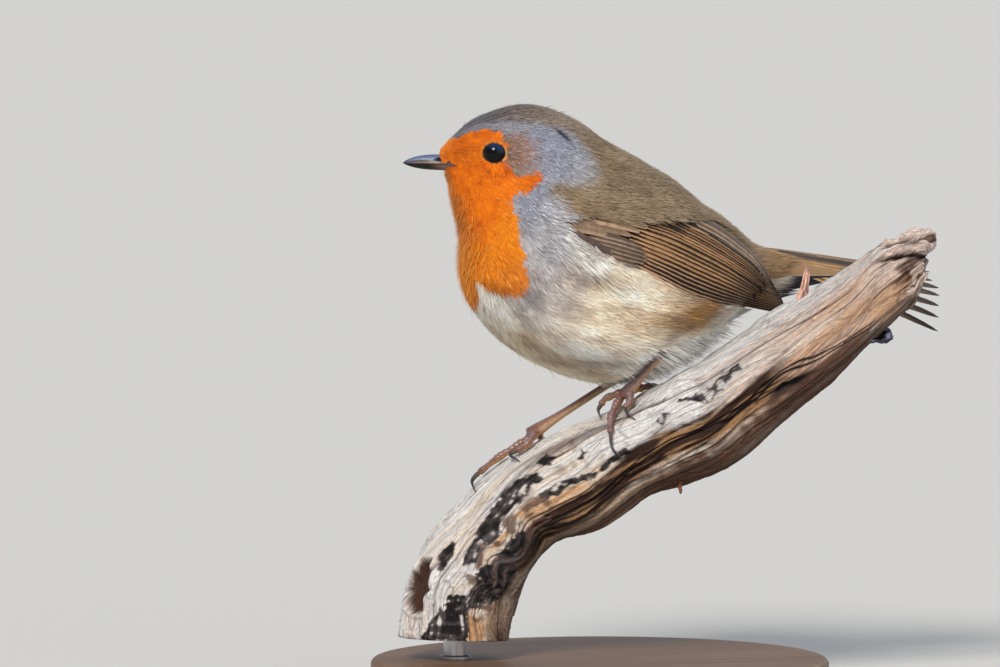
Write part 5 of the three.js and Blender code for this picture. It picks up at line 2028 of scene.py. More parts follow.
@dataclass
class Tail:
    """Twelve rectrices in a nearly closed fan, the middle pair on top."""

    root: Triple = (44.0, 0.0, 105.3)
    length: float = 44.5
    root_half: float = 3.6
    fan: float = 12.5
    pitch: float = 9.5
    yaw: float = 3.0
    roll: float = 27.0
    tent: float = 0.035
    widening: float = 0.6
    feathers: int = 12
    layer: float = 0.11

    def turn(self) -> Array:
        """Rotation of the tail: yaw about Z after pitch about Y after roll about X.

        Returns:
            A 3 x 3 matrix.
        """
        a, b, c = (math.radians(d) for d in (self.roll, self.pitch, self.yaw))
        about_x = np.array([[1, 0, 0], [0, math.cos(a), -math.sin(a)],
                            [0, math.sin(a), math.cos(a)]])
        about_y = np.array([[math.cos(b), 0, math.sin(b)], [0, 1, 0],
                            [-math.sin(b), 0, math.cos(b)]])
        about_z = np.array([[math.cos(c), -math.sin(c), 0], [math.sin(c), math.cos(c), 0],
                            [0, 0, 1]])
        return about_z @ about_y @ about_x

    def place(self, reach: Array, spread: Array, lift: Array) -> Array:
        """Point of the fan at a distance from the root and to the left, lifted; the fan is
        arched by tent·spread²."""
        local = np.stack([reach, -spread, lift - self.tent * spread**2], -1)
        return local @ self.turn().T + np.array(self.root)

    def build(self, finishes: Finishes) -> Piece:
        """Each feather's shaft leaves the root at its own angle within the fan.

        Args:
            finishes: all finishes.

        Returns:
            The tail.
        """
        style = VaneStyle(outer=(0.4, 0.235, 0.11), web=(0.2, 0.125, 0.07),
                          inner=(0.03, 0.022, 0.018),
                          shaft=(0.06, 0.04, 0.025), tip=(0.05, 0.042, 0.04), edge_share=0.5,
                          point=2.3,
                          thickness=0.12, droop=0.1, narrows=0.8, tip_start=0.55, tip_share=0.95)
        vanes = Vanes(rows=40, columns=11)
        work = Patchwork()
        half = self.feathers // 2
        rng = np.random.default_rng(77)
        for way in (1, -1):
            order = np.arange(half)
            across = way * (order + 0.5) / half
            angle = np.radians(self.fan) * across + np.radians(0.7) * rng.uniform(-1, 1, half)
            reach = self.length * (1.0 - 0.02 * (order == 0) - 0.012 * rng.random(half))
            start = np.stack([np.full(half, -3.0), across * self.root_half * 0.7], -1)
            end = np.stack([reach * np.cos(angle),
                            across * self.root_half * (1 + self.widening) + reach * np.sin(angle)],
                           -1)
            centre = bend_lines(start, end, np.full(half, 0.4 * way), vanes.rows)
            inner, outer = 3.0 - 0.36 * order, 1.35 - 0.12 * order
            lift = 0.35 - order * self.layer + 0.03 * way
            if way < 0:
                vanes.add(work, self.place, centre, outer, inner, lift, style, 31)
            else:
                mirrored = centre * np.array([1, -1])
                vanes.add(work, lambda a, b, c: self.place(a, -b, c), mirrored, outer, inner, lift,
                          style, 32)
        return settle(work.build("tail_feathers", finishes.vane), Slot.PLUMAGE, "tail")


# ---- branch ----------------------------------------------------------------------------


@dataclass
class Branch:
    """Weathered branch: stations of distance along its plane, height and radius."""

    stations: tuple[Triple, ...] = (
        (-35.2, 12.5, 13.4), (-34.5, 20.4, 13.1), (-31.6, 28.8, 12.3), (-25.4, 37.0, 12.0),
        (-16.6, 45.8, 12.2), (-5.2, 51.5, 13.3), (6.0, 56.8, 11.9), (15.8, 60.9, 11.9),
        (26.3, 66.5, 12.5), (36.8, 74.4, 11.5), (49.1, 83.5, 10.8), (60.0, 91.9, 9.0),
        (69.3, 99.3, 8.8), (78.0, 104.6, 7.2), (88.0, 107.6, 5.8))
    turn: float = 18.0
    foot_depth: float = -2.2
    slope: float = -0.05
    broken: Outline = (
        (-180, 11.6), (-120, 12.3), (-60, 12.8), (0, 13.22), (18, 13.3), (34, 13.25), (48, 13.05),
        (62, 12.84), (76, 12.7), (90, 12.6),
        (130, 12.55), (155, 12.35), (172, 11.8), (180, 11.6))
    heart_end: float = 12.7
    rows: int = 330
    cap: int = 30
    columns: int = 296

    def place(self, along: Array, near: Array, up: Array) -> Array:
        """A place in the branch's own upright plane, `near` being toward the bird's left.

        Args:
            along: distance along the branch's plane.
            near: distance toward the bird's left.
            up: height.

        Returns:
            Points of shape (..., 3).
        """
        depth = self.foot_depth + self.slope * along - near
        c, s = math.cos(math.radians(self.turn)), math.sin(math.radians(self.turn))
        return np.stack([c * along + s * depth, -s * along + c * depth,
                         np.broadcast_to(up, np.shape(depth))], -1)

    def grip(self, t: Array, angle: Array, lift: Array | float = 0.0) -> Array:
        """Surface point at station t and angle, 0 on top and +90° toward the bird's left.

        Args:
            t: station numbers.
            angle: angles round the branch in radians.
            lift: height over the surface in millimetres.

        Returns:
            Points of shape (..., 3).
        """
        middle = spline(self.stations, t)
        ahead = spline(self.stations, t + 0.01) - spline(self.stations, t - 0.01)
        length = np.hypot(ahead[..., 0], ahead[..., 1])
        lump = (1 + 0.045 * np.sin(2 * angle + 0.9 * t) + 0.03 * np.sin(3 * angle - 1.7 * t + 1)
                + 0.015 * np.sin(5 * angle + 2.3 * t))
        radius = middle[..., 2] * lump + lift
        return self.place(middle[..., 0] - ahead[..., 1] / length * radius * np.cos(angle),
                          radius * np.sin(angle),
                          middle[..., 1] + ahead[..., 0] / length * radius * np.cos(angle))


# ---- feet ------------------------------------------------------------------------------


@dataclass(frozen=True)
class Foot:
    """Places of one leg: cuff points in millimetres, and places on the branch as station,
    degrees and height over the bark."""

    name: str
    cuff_root: Triple
    cuff_end: Triple
    cuff_radii: Pair
    ball: Triple
    toes: dict[str, tuple[Triple, ...]]


LEFT_FOOT = Foot("left", (16.6, -13.6, 88.6), (12.6, -15.6, 84.2), (2.4, 1.0), (6.64, 12, 3.0), {
    "inner": ((6.42, 10, 3.3), (6.12, 12, 3.7), (5.98, 12, 2.6), (5.9, 16, 2.0), (5.88, 25, 0.6)),
    "middle": ((6.4, 12, 2.2), (6.1, 33, 1.5), (5.95, 58, 1.3), (5.86, 74, 1.6), (5.95, 87, 0.6)),
    "outer": ((6.62, 24, 2.4), (6.52, 30, 2.0), (6.42, 30, 1.6), (6.42, 40, 1.7), (6.56, 52, 0.6)),
    "hind": ((6.84, 4, 2.2), (7.04, -8, 1.5), (7.22, -14, 1.3), (7.36, -28, 1.7),
             (7.42, -44, 0.6))})
RIGHT_FOOT = Foot("right", (13.5, 9.0, 81.0), (7.1, 7.6, 74.3), (5.5, 1.9), (4.64, 2, 2.6), {
    "inner": ((4.5, 18, 1.9), (4.36, 23, 1.5), (4.22, 20, 1.4), (4.12, 24, 1.8), (4.2, 38, 0.6)),
    "middle": ((4.42, 2, 1.5), (4.0, 5, 1.3), (3.62, 3, 1.2), (3.48, 10, 1.3), (3.4, 26, 0.6)),
    "outer": ((4.46, -20, 1.9), (4.2, -40, 1.5), (4.0, -55, 1.3), (3.88, -68, 1.7),
              (3.86, -82, 0.6)),
    "hind": ((4.62, -32, 1.2), (4.64, -52, 1.0), (4.68, -66, 1.0), (4.72, -78, 1.4),
             (4.74, -90, 0.6))})


@dataclass
class Thigh:
    """Feathered end of a drumstick that the shank comes out of."""

    foot: Foot
    markings: Markings
    tufts: int = 420
    # colour factors of a lock's seven corners: painted shade at the root, painted light at the tip
    painted_lock_shading: tuple[float, ...] = (0.62, 0.62, 0.55, 0.95, 0.95, 1.0, 1.1)

    def radius(self, share: Array) -> Array:
        """Radius of the cuff at a share of its length."""
        first, last = self.foot.cuff_radii
        return first + (last - first) * np.sqrt(share)

    def add_skin(self, work: Patchwork) -> None:
        """Adds the bare cone, 0.8 mm inside the coat.

        Args:
            work: takes the points and faces.
        """
        share = np.linspace(0, 1, 16)
        a, b = np.array(self.foot.cuff_root), np.array(self.foot.cuff_end)
        line = a + (b - a) * share[:, None]
        _, side, up = frames_along(line, (1.0, 0, 0))
        radius = np.repeat(np.maximum(self.radius(share) - 0.8, 0.9)[:, None], 24, 1)
        points, faces = tube(line, side, up, radius, radius)
        work.add(points, faces, np.array([0.5, 0.46, 0.38]))

    def coat(self, work: Patchwork) -> None:
        """Adds locks that lie down the cone and reach a little past its end.

        Args:
            work: takes the points and faces.
        """
        rng = np.random.default_rng(900 + len(self.foot.name))
        locks, tufts = Locks(), self.tufts
        share = np.repeat(rng.uniform(0, 0.7, tufts), locks.fan)
        angle = np.repeat(rng.uniform(0, TAU, tufts), locks.fan)
        n = len(share)
        slot = np.tile(np.arange(locks.fan) - (locks.fan - 1) / 2, tufts)
        a, b = np.array(self.foot.cuff_root), np.array(self.foot.cuff_end)
        reach = np.linalg.norm(b - a)
        axis = (b - a) / reach
        side = unit(np.cross(np.array([1.0, 0, 0]), axis))
        up = np.cross(axis, side)
        length = rng.uniform(1.6, 2.6, n)
        lines = []
        for way, inset in ((0.0, -0.8), (locks.middle, -0.1), (1.0, 0.05)):
            here = share + length * way / reach
            turn = angle + slot * 0.08 * (0.5 + way)
            out = side * np.cos(turn)[:, None] + up * np.sin(turn)[:, None]
            radius = np.maximum(self.radius(np.clip(here, 0, 1)) - 0.9 * np.clip(here - 1, 0, 2),
                                0.7)
            lines.append(a + axis * (here * reach)[:, None] + out * (radius + inset)[:, None])
        width = rng.uniform(0.22, 0.36, n)
        across = unit(np.cross(out, axis))
        corners = locks.corners(*lines, across, out, width, width * 0.3)
        tone = mix(self.markings.white, self.markings.cream, rng.uniform(0, 1, n))
        tint = tone[:, None] * np.array(self.painted_lock_shading)[:, None]
        uv = np.stack([angle / TAU, 0.1 + 0.8 * share], -1)
        locks.add(work, corners, tint, uv, out, across)


@dataclass
class Leg:
    """Shank, toes and claws of one foot."""

    foot: Foot
    branch: Branch
    bones: int = 3
    claw_grid: tuple[int, int] = (30, 14)

    def on_branch(self, places: Sequence[Triple]) -> Array:
        """Points of places given as station, degrees and height over the bark."""
        rows = np.array(places, float)
        return self.branch.grip(rows[:, 0], np.radians(rows[:, 1]), rows[:, 2])

    def curve(self, points: Array, rows: int) -> Array:
        """Even rows along the Catmull-Rom curve through the points.

        Args:
            points: places that the curve goes through.
            rows: how many rows of points.

        Returns:
            Points of shape (rows, 3).
        """
        fine = spline(points, np.linspace(0, len(points) - 1, 400))
        run = np.concatenate([[0], np.cumsum(np.linalg.norm(np.diff(fine, axis=0), axis=1))])
        even = np.linspace(0, run[-1], rows)
        return np.stack([np.interp(even, run, fine[:, k]) for k in range(3)], -1)

    def limb(self, work: Patchwork, points: Array, radius: Callable[[Array], Array], rows: int,
             columns: int,
             up: Sequence[float], rings: float, step: float,
             tint: Callable[[Array, Array], Array]) -> None:
        """Scaled limb: a tube whose radius has stepped scutes on its front.

        The scutes are a saw wave along the limb, strongest at the front angle.

        Args:
            work: takes the points and faces.
            points: places that the limb goes through.
            radius: radius at a share of the length.
            rows: how many rows of points.
            columns: how many points a row.
            up: direction that counts as up.
            rings: how many scutes.
            step: height of a scute as a share of the radius.
            tint: colour at a share of the length and a side.
        """
        line = self.curve(points, rows)
        share = np.linspace(0, 1, rows)
        _, side, over = frames_along(line, up)
        angle = np.arange(columns) * TAU / columns
        saw = (share * rings) % 1.0
        front = np.clip(np.sin(angle), 0, 1)[None, :] * 0.8 + 0.2
        relief = 1 + step * (saw[:, None] - 0.5) * front
        relief = relief - 0.5 * step * bump(saw[:, None], 0, 0.12) * front
        reach = radius(share)[:, None] * relief
        tubes, faces = tube(line, side, over, reach, reach)
        shade = 1 - min(0.5, 3 * step) * bump(saw, 0, 0.14)
        colours = tint(share[:, None] + 0 * relief, np.sin(angle)[None] + 0 * relief)
        colours = colours * shade[:, None, None]
        work.add(tubes, faces, with_ends(colours.reshape(-1, 3)))

    def shank(self) -> tuple[Array, Array]:
        """Ends of the shank: inside the cuff, and the foot's ball on the branch."""
        end, root = np.array(self.foot.cuff_end), np.array(self.foot.cuff_root)
        return end - unit(end - root) * 1.5, self.on_branch([self.foot.ball])[0]

    def build(self, finishes: Finishes) -> None:
        """Shank and toes as one piece, the claws as another.

        Args:
            finishes: all finishes.
        """
        work, claws = Patchwork(), Patchwork()
        foot = self.foot
        top, ball = self.shank()
        below = ball + unit(ball - top) * 0.9
        brown, gold = np.array([0.2, 0.085, 0.055]), np.array([0.55, 0.29, 0.09])
        mauve, dark = np.array([0.27, 0.2, 0.24]), np.array([0.06, 0.03, 0.025])
        flesh = (0.34, 0.21, 0.17) if foot.name == "left" else (0.46, 0.29, 0.19)

        def shank_tint(share: Array, front: Array) -> Array:
            """Flesh-brown, mauve along the front edge and golden along the back, with painted shade
            at the heel.

            Args:
                share: share of the length from heel to ball.
                front: 1 on the limb's front, -1 on its back.

            Returns:
                Colours of shape (..., 3).
            """
            tone = mix(flesh, brown, ramp(0.0, 0.5, front) * 0.8)
            tone = mix(tone, mauve * 0.7, ramp(0.55, 0.95, front))
            tone = mix(tone, gold, ramp(-0.2, -0.8, front))
            tone = mix(tone, brown * 0.8, ramp(0.82, 0.95, share) * 0.8)
            # dark at the heel, where the shank comes out of the feathers: painted shade
            return mix(tone, dark, ramp(0.3, 0.0, share) * 0.8)

        def toe_tint(share: Array, front: Array) -> Array:
            """Brown above, ochre pads below, darker toward the claw.

            Args:
                share: share of the length from root to tip.
                front: 1 on the limb's front, -1 on its back.

            Returns:
                Colours of shape (..., 3).
            """
            tone = mix(brown, mauve, ramp(0.3, 1.0, front) * 0.6)
            tone = mix(tone, gold * 0.9, ramp(0.15, -0.6, front) * 0.9)
            return mix(tone, dark, ramp(0.7, 1.0, share) * 0.4)

        def shank_radius(share: Array) -> Array:
            """Slim, a little thicker at the heel and swollen into the foot's ball."""
            return 0.95 + 0.25 * bump(share, 0, 0.1) + 0.75 * bump(4.6 * share, 4.37, 1) * (
                1 - 0.6 * ramp(0.97, 1, share))

        def toe_radius(share: Array) -> Array:
            """Narrowing, with joint pads as three swellings."""
            pads = 0.14 * np.cos(share * TAU * self.bones + 0.6)
            return (1.06 - 0.3 * share) * (1 + pads) * (1 - 0.55 * ramp(0.95, 1, share))

        self.limb(work, np.stack([top, ball, below]), shank_radius, 120, 24, (-1.0, 0, 0.6), 9,
                  0.025, shank_tint)
        for row in foot.toes.values():
            places = [foot.ball, *row[:self.bones]]
            points = self.on_branch(places)
            normal = points[1] - self.on_branch([(row[0][0], row[0][1], 0.0)])[0]
            self.limb(work, points, toe_radius, 96, 20, normal, 13, 0.2, toe_tint)
            self.claw(claws, self.on_branch(row[self.bones - 1:]), normal)
        nodes = [f"toe_{foot.name}_{d}" for d in foot.toes] + [f"shank_{foot.name}"]
        settle(work.build(f"leg_{foot.name}", finishes.scales), Slot.SCALES, *nodes)
        settle(claws.build(f"claws_{foot.name}", finishes.claw), Slot.CLAW,
               *[f"claw_{foot.name}_{d}" for d in foot.toes])

    def claw(self, work: Patchwork, points: Array, normal: Array) -> None:
        """Curved claw tapering to a point, deeper than wide.

        Args:
            work: takes the points and faces.
            points: places that the claw goes through.
            normal: direction away from the bark.
        """
        rows, columns = self.claw_grid
        line = self.curve(points, rows)
        share = np.linspace(0, 1, rows)
        _, side, over = frames_along(line, normal)
        radius = np.repeat((0.56 * (1 - share) ** 0.7 + 0.05)[:, None], columns, 1)
        points, faces = tube(line, side, over, radius * 0.8, radius * 1.05)
        tint = mix((0.1, 0.065, 0.05), (0.03, 0.028, 0.034), ramp(0.0, 0.5, share))
        work.add(points, faces, with_ends(np.repeat(tint, columns, 0)))


# ---- branch surface --------------------------------------------------------------------


@dataclass
class Bark:
    """Weathering of the branch: cracks, char, knot and broken ends, with painted light on its top
    and painted shade below and in its hollows.

    Outlines are closed rows of (station, degrees round the branch).
    """

    branch: Branch
    chars: tuple[Outline, ...] = (
        ((-0.5, 48), (0.2, 55), (0.86, 68), (1.35, 80), (1.4, 99), (0.6, 102), (-0.5, 104)),
        ((1.05, 100), (1.6, 97), (2.18, 98), (2.68, 104), (3.11, 104), (3.48, 102), (3.6, 110),
         (3.4, 124),
         (2.65, 141), (1.58, 140), (1.17, 117)),
        ((2.85, 66), (3.27, 60), (3.56, 72), (3.2, 90), (2.76, 86)),
        ((3.15, 66), (3.58, 55), (3.95, 58), (4.28, 60), (4.32, 70), (3.97, 79), (3.48, 80)),
        ((2.1, 76), (2.6, 69), (2.85, 70), (2.8, 84), (2.3, 90)),
        ((1.7, 60), (2.0, 48), (2.35, 50), (2.2, 62)),
        ((4.05, 84), (4.42, 81), (4.96, 83), (5.08, 89), (4.59, 93), (4.2, 91)),
        ((5.0, 86), (5.5, 84), (6.1, 80), (6.2, 84), (5.5, 89), (5.0, 90)),
        ((4.47, 48), (4.66, 47), (4.79, 56), (4.65, 61), (4.47, 57)),
        ((5.17, 66), (5.28, 62), (5.37, 66), (5.25, 70)),
        ((7.0, 62), (7.3, 58), (7.4, 63), (7.1, 68)),
        ((7.7, 54), (8.13, 59), (8.64, 58), (9.01, 52), (9.02, 61), (8.52, 70), (8.05, 67)))
    knot: Outline = (
        (0.72, 32), (1.2, 12), (1.72, 20), (1.85, 42), (1.3, 57), (0.7, 50))
    tans: tuple[Outline, ...] = (
        ((3.6, 88), (4.3, 84), (4.9, 94), (5.6, 94), (6.4, 86), (6.3, 92), (5.4, 103), (4.4, 112),
         (3.7, 108)),
        ((0.0, 104), (0.8, 103), (0.9, 122), (0.3, 126), (-0.2, 120)),
        ((2.2, 92), (2.6, 90), (3.3, 92), (3.4, 99), (2.4, 98)))
    smoked: Outline = (
        (0.7, 112), (1.3, 102), (1.9, 88), (2.5, 78), (3.1, 76), (3.7, 84), (4.4, 90), (4.9, 98),
        (4.4, 116),
        (3.4, 130), (1.9, 140), (0.9, 126))
    heart: Outline = (
        (3.3, 134), (4.4, 124), (5.0, 116), (5.4, 112), (6.3, 101), (7.1, 94), (8.1, 96),
        (8.8, 104), (9.5, 102),
        (10.4, 112), (11.3, 124))
    ridge_line: Outline = (
        (3.9, 23), (5.0, 37), (6.2, 39), (8.3, 50), (9.7, 52), (11.3, 60), (13.1, 60))
    cream: Triple = (1.0, 0.86, 0.72)
    # white of the painted light on the top and on the broken end's knobs
    painted_highlight_white: Triple = (1.0, 0.98, 0.99)
    pink: Triple = (0.9, 0.56, 0.4)
    tan: Triple = (0.85, 0.47, 0.22)
    brown: Triple = (0.075, 0.032, 0.018)
    black: Triple = (0.014, 0.011, 0.012)
    ash: Triple = (0.18, 0.15, 0.15)
    # painted shade on the underside
    grey: Triple = (0.1, 0.05, 0.03)
    grain_stretch: float = 0.13
    girth: float = 11.8
    station: float = 11.5
    degree: float = 0.207

    def grain(self, t: Array, angle: Array) -> Array:
        """Millimetres round the branch and along it, wandering with a slow twist, and
        wrapped round the hollow of the bend.

        Args:
            t: station numbers.
            angle: angles round the branch in radians.

        Returns:
            Places of shape (..., 3).
        """
        drift = (angle + 0.05 * t + 0.1 * np.sin(0.9 * t + 1.3) + 0.03 * np.sin(4.1 * t + 2 * angle)
                 + 0.18 * bump(t, 2.9, 1.1) * bump(np.degrees(angle), 118, 32) * np.sin(5.5 * t))
        return np.stack([np.cos(drift) * self.girth, np.sin(drift) * self.girth, t * self.station],
                        -1)

    def fibre(self, grain: Array, width: float, length: float, seed: int) -> Array:
        """Noise drawn out along the grain: narrow round the branch, long down it."""
        return noise(grain / np.array([width, width, length]), seed)

    def lines(self, grain: Array, width: float, length: float, thin: float, seed: int) -> Array:
        """Long thin lines where a drawn-out noise crosses zero, broken into lengths."""
        cross = bump(self.fibre(grain, width, length, seed), 0, thin)
        return cross * ramp(-0.2, 0.15, self.fibre(grain, 2 * width, 0.6 * length, seed + 1))

    def near(self, row: Sequence[Pair], t: Array, degrees: Array) -> Array:
        """Millimetres round the branch from a line of (station, degrees)."""
        line = np.array(row)
        return (degrees - np.interp(t, line[:, 0], line[:, 1])) * self.degree

    def patch(self, outlines: Sequence[Sequence[Pair]], t: Array, degrees: Array) -> Array:
        """Millimetres inside the nearest of several outlines."""
        scale = np.array([self.station, self.degree])
        return np.max([inside(np.array(line) * scale, t * scale[0], degrees * scale[1])
                       for line in outlines], axis=0)

    def build(self, finishes: Finishes) -> None:
        """Grid over station and angle with cracks, char relief, knot and broken end.

        The last rows round the end off: the radius falls as cos^0.7 of a quarter turn while
        the station still grows, so the rows close on one point.

        Args:
            finishes: all finishes.
        """
        b = self.branch
        turn = np.arange(b.columns) * TAU / b.columns - math.pi / 2
        angle = turn + 0.35 * np.cos(turn)
        degrees = (np.degrees(angle) + 110) % 360 - 110
        ends = np.array(b.broken)
        last = np.interp((degrees + 180) % 360 - 180, ends[:, 0], ends[:, 1])
        share = np.linspace(0, 1, b.rows - b.cap)[:, None]
        quarter = np.linspace(0, math.pi / 2 * 0.97, b.cap + 1)[1:, None]
        cap = last + 0.42 * np.sin(quarter) + (b.heart_end - last) * (1 - np.cos(quarter)) ** 1.3
        t = np.concatenate([12.6 * share + (last - 12.6) * share**10, cap])
        round_off = np.concatenate([np.ones((b.rows - b.cap, 1)), np.cos(quarter) ** 0.7])
        a, degrees = angle + 0 * t, degrees + 0 * t
        grain = self.grain(t, a)
        bare_end = b.grip(t, a, spline(b.stations, t)[..., 2] * (round_off - 1))
        splinters = layered_noise(bare_end / np.array([3.2, 3.2, 2.2]), 3, 97)
        on_end = ramp(1.0, 0.75, round_off)
        t = t + 0.2 * splinters * on_end
        ragged = layered_noise(grain / 3.0, 3, 3)
        fray = 0.5 * self.fibre(grain, 0.8, 5, 7)
        rough_t, rough_d = t + 0.08 * ragged + 0.1 * fray, degrees + 5.0 * ragged + 3.0 * fray
        coarse, ridge, fine, hair = (self.fibre(grain, w, l, k) for w, l, k in (
            (5.0, 70, 12), (2.2, 45, 13), (0.8, 14, 14), (0.5, 5, 15)))
        cracks = np.maximum(self.lines(grain, 4.4, 120, 0.05, 16),
                            0.8 * self.lines(grain, 2.6, 80, 0.05, 18))
        hairs = 0.8 * self.lines(grain, 1.3, 36, 0.07, 22)
        flake = self.fibre(grain, 4.2, 17, 24)
        plates, rim = ramp(0.06, 0.12, flake), bump(flake, 0.05, 0.04)
        lump = noise(grain / 9.0, 25)
        mottle = layered_noise(grain / 1.7, 2, 95)
        blister = layered_noise(grain / 1.3, 2, 62)
        char = ramp(-0.25, 0.15, self.patch(self.chars, rough_t, rough_d) + 0.9 * (blister - 0.25)
                    + 0.3)
        char = char * ramp(0.56, 0.34, blister + 0.45 * fine + 0.35 * mottle)
        tans = ramp(-0.6, 0.3, self.patch(self.tans, rough_t, rough_d) + 0.8 * ridge)
        smoked = ramp(-1.0, 1.4, self.patch((self.smoked,), rough_t, rough_d) + 1.2 * mottle)
        smoked = smoked * ramp(-0.25, 0.2, mottle + 0.5 * fine + 0.3 * ridge)
        knot = self.patch((self.knot,), rough_t, rough_d)
        along = window(t, 3.3, 3.9, 9.2, 10.0)
        heart_away = np.abs(self.near(self.heart, t, degrees) + 0.8 * np.sin(2.1 * t) + 1.1 * ridge)
        heart = ramp(4.4, 2.6, heart_away + 1.1 * fine + 0.6 * mottle) * along
        heart_crack = bump(heart_away, 0.5, 0.28) * window(t, 3.8, 4.4, 10.8, 11.6)
        hollow = bump(t, 3.75, 0.75) * bump(degrees, 136, 17)
        deep = bump(rough_t, 9.5, 0.3) * bump(rough_d, 120, 5.5)
        line_away = np.abs(self.near(self.ridge_line, t, degrees) + 0.5 * coarse + 0.3 * ridge)
        ridge_crack = bump(line_away, 0, 0.3) * ramp(3.9, 4.6, t) * ramp(-0.35, -0.1, ridge)
        torn = ramp(11.9, 12.6, t)
        knob = layered_noise(grain / np.array([2.6, 2.6, 3.2]), 2,
                             81) * (1 - on_end) + splinters * on_end
        cleft = bump(rough_d - 30 * (t - 12.5), 58, 6.0) * ramp(11.9, 12.4, t)
        relief = 0.42 * coarse + 0.22 * ridge + 0.2 * fine + 0.12 * hair + 0.6 * lump
        relief += 0.22 * plates - 0.1 * rim - 0.75 * cracks - 0.3 * hairs - 0.7 * ridge_crack
        relief += heart * (0.5 * fine + 0.5 * ridge
                           - 0.9) - 0.8 * heart_crack - 1.5 * hollow - 2.2 * deep
        relief += char * (0.12 + 0.3 * blister + 0.16 * fine)
        relief -= 2.4 * ramp(-0.3, 1.8, knot)
        relief += 0.7 * ramp(-1.8, -0.5, knot) * ramp(0.3, -0.5, knot)
        relief += torn * (1.2 * knob + 0.8 * fine + 0.8 * mottle) - 1.6 * cleft + 0.16 * mottle
        radius = spline(b.stations, t)[..., 2]
        points = b.grip(t, a, radius * (round_off - 1)
                        + relief * np.where(on_end > 0, round_off**2, 1.0))
        points[0, :, 2] = b.stations[0][1]
        c = palette(self)
        # light: the top and near side, which face the lamp; the white laid on them is painted light
        light = ramp(104, 64, degrees + 14 * lump) * ramp(-70, -20, degrees)
        light = np.maximum(light, ramp(3.2, 2.4, t) * ramp(108, 92, degrees + 20 * lump)
                           * (degrees > -60))
        # under: the underside, darkened as painted shade
        under = np.maximum(ramp(116, 142, degrees + 14 * coarse), ramp(-45, -85, degrees))
        # painted shade along the lower near side
        low_side_shade = window(t, 5.4, 6.4, 10.4, 11.6) * ramp(104, 120, degrees + 16 * ridge)
        painted_top_light = np.clip(light * (0.75 + 0.9 * fine + 0.4 * plates + 0.5 * ridge), 0, 1)
        painted_top_light = painted_top_light * (1 - 0.55 * ramp(7.8, 10.0, t) * ramp(30, 55, degrees + 12 * lump))
        flecks = 0.3 * ramp(0.2, 0.5, hair) + 0.22 * ramp(0.25, 0.5, fine)
        flecks = flecks + 0.3 * ramp(0.15, 0.6, mottle)
        band = mix(c.brown * 0.7, c.tan * 0.5, ramp(0.1, 0.5, fine + 0.5 * hair))
        coal = mix(c.black, c.ash, np.clip(0.3 + 0.8 * blister + 0.7 * fine + 0.7 * mottle, 0, 1))
        # broken end: painted shade in the recesses and painted light on the knobs
        end_painted_light_and_shade = mix(c.brown * 1.6, mix(c.pink, c.painted_highlight_white, 0.45),
                        ramp(-0.3, 0.35, knob + 0.3 * fine))
        # hollow, deep and cleft darken the cavity under the bend, a pit and the end's split as
        # painted shade
        wood = paint(
            c.cream, (c.pink, np.clip(0.15 + 1.1 * coarse + 0.9 * ridge + 0.7 * fine, 0, 1)),
            (c.pink * 0.9, ramp(7.8, 9.2, t) * ramp(0.15, -0.15, flake) * 0.8),
            (c.painted_highlight_white, painted_top_light),
            (c.tan, tans * np.clip(0.75 + 0.8 * fine, 0, 1)),
            (c.tan * 0.9, ramp(0.12, 0.3, self.fibre(grain, 2.6, 20, 17)) * 0.46
             * (1 - 0.85 * light)),
            (c.grey, np.clip(under * (0.8 + 0.5 * ridge), 0, 0.95)),
            (c.brown * 1.5, np.clip(low_side_shade * (0.8 + 0.9 * fine + 0.5 * mottle), 0, 0.93)),
            (c.brown * 2.4, flecks * (1 - 0.55 * light)),
            (c.brown, np.clip(0.95 * cracks + 0.6 * hairs + 0.15 * rim + ridge_crack, 0, 1) * 0.9),
            (band, np.clip(heart + 0.9 * hollow, 0, 1)),
            (c.black, np.clip(heart_crack + 1.5 * deep + 0.8 * hollow * (ridge > -0.1), 0, 1)),
            (c.brown * 1.7 + c.ash * 0.25, smoked * 0.85), (coal, char),
            (c.brown * 1.1, ramp(-0.6, 0.8, knot + 0.6 * blister)), (end_painted_light_and_shade, torn * 0.85),
            (c.brown * 0.5, np.clip(1.2 * cleft, 0, 1)))
        work = Patchwork()
        points = capped(points)
        work.grain = capped(grain) * np.array([1, 1, self.grain_stretch])
        work.add(points, outward(points, tube_faces(b.rows, b.columns)),
                 np.concatenate([wood.reshape(-1, 3), c.tan[None], c.brown[None]]))
        settle(work.build("branch", finishes.branch), Slot.BRANCH, "perch")
        self.twigs(finishes)

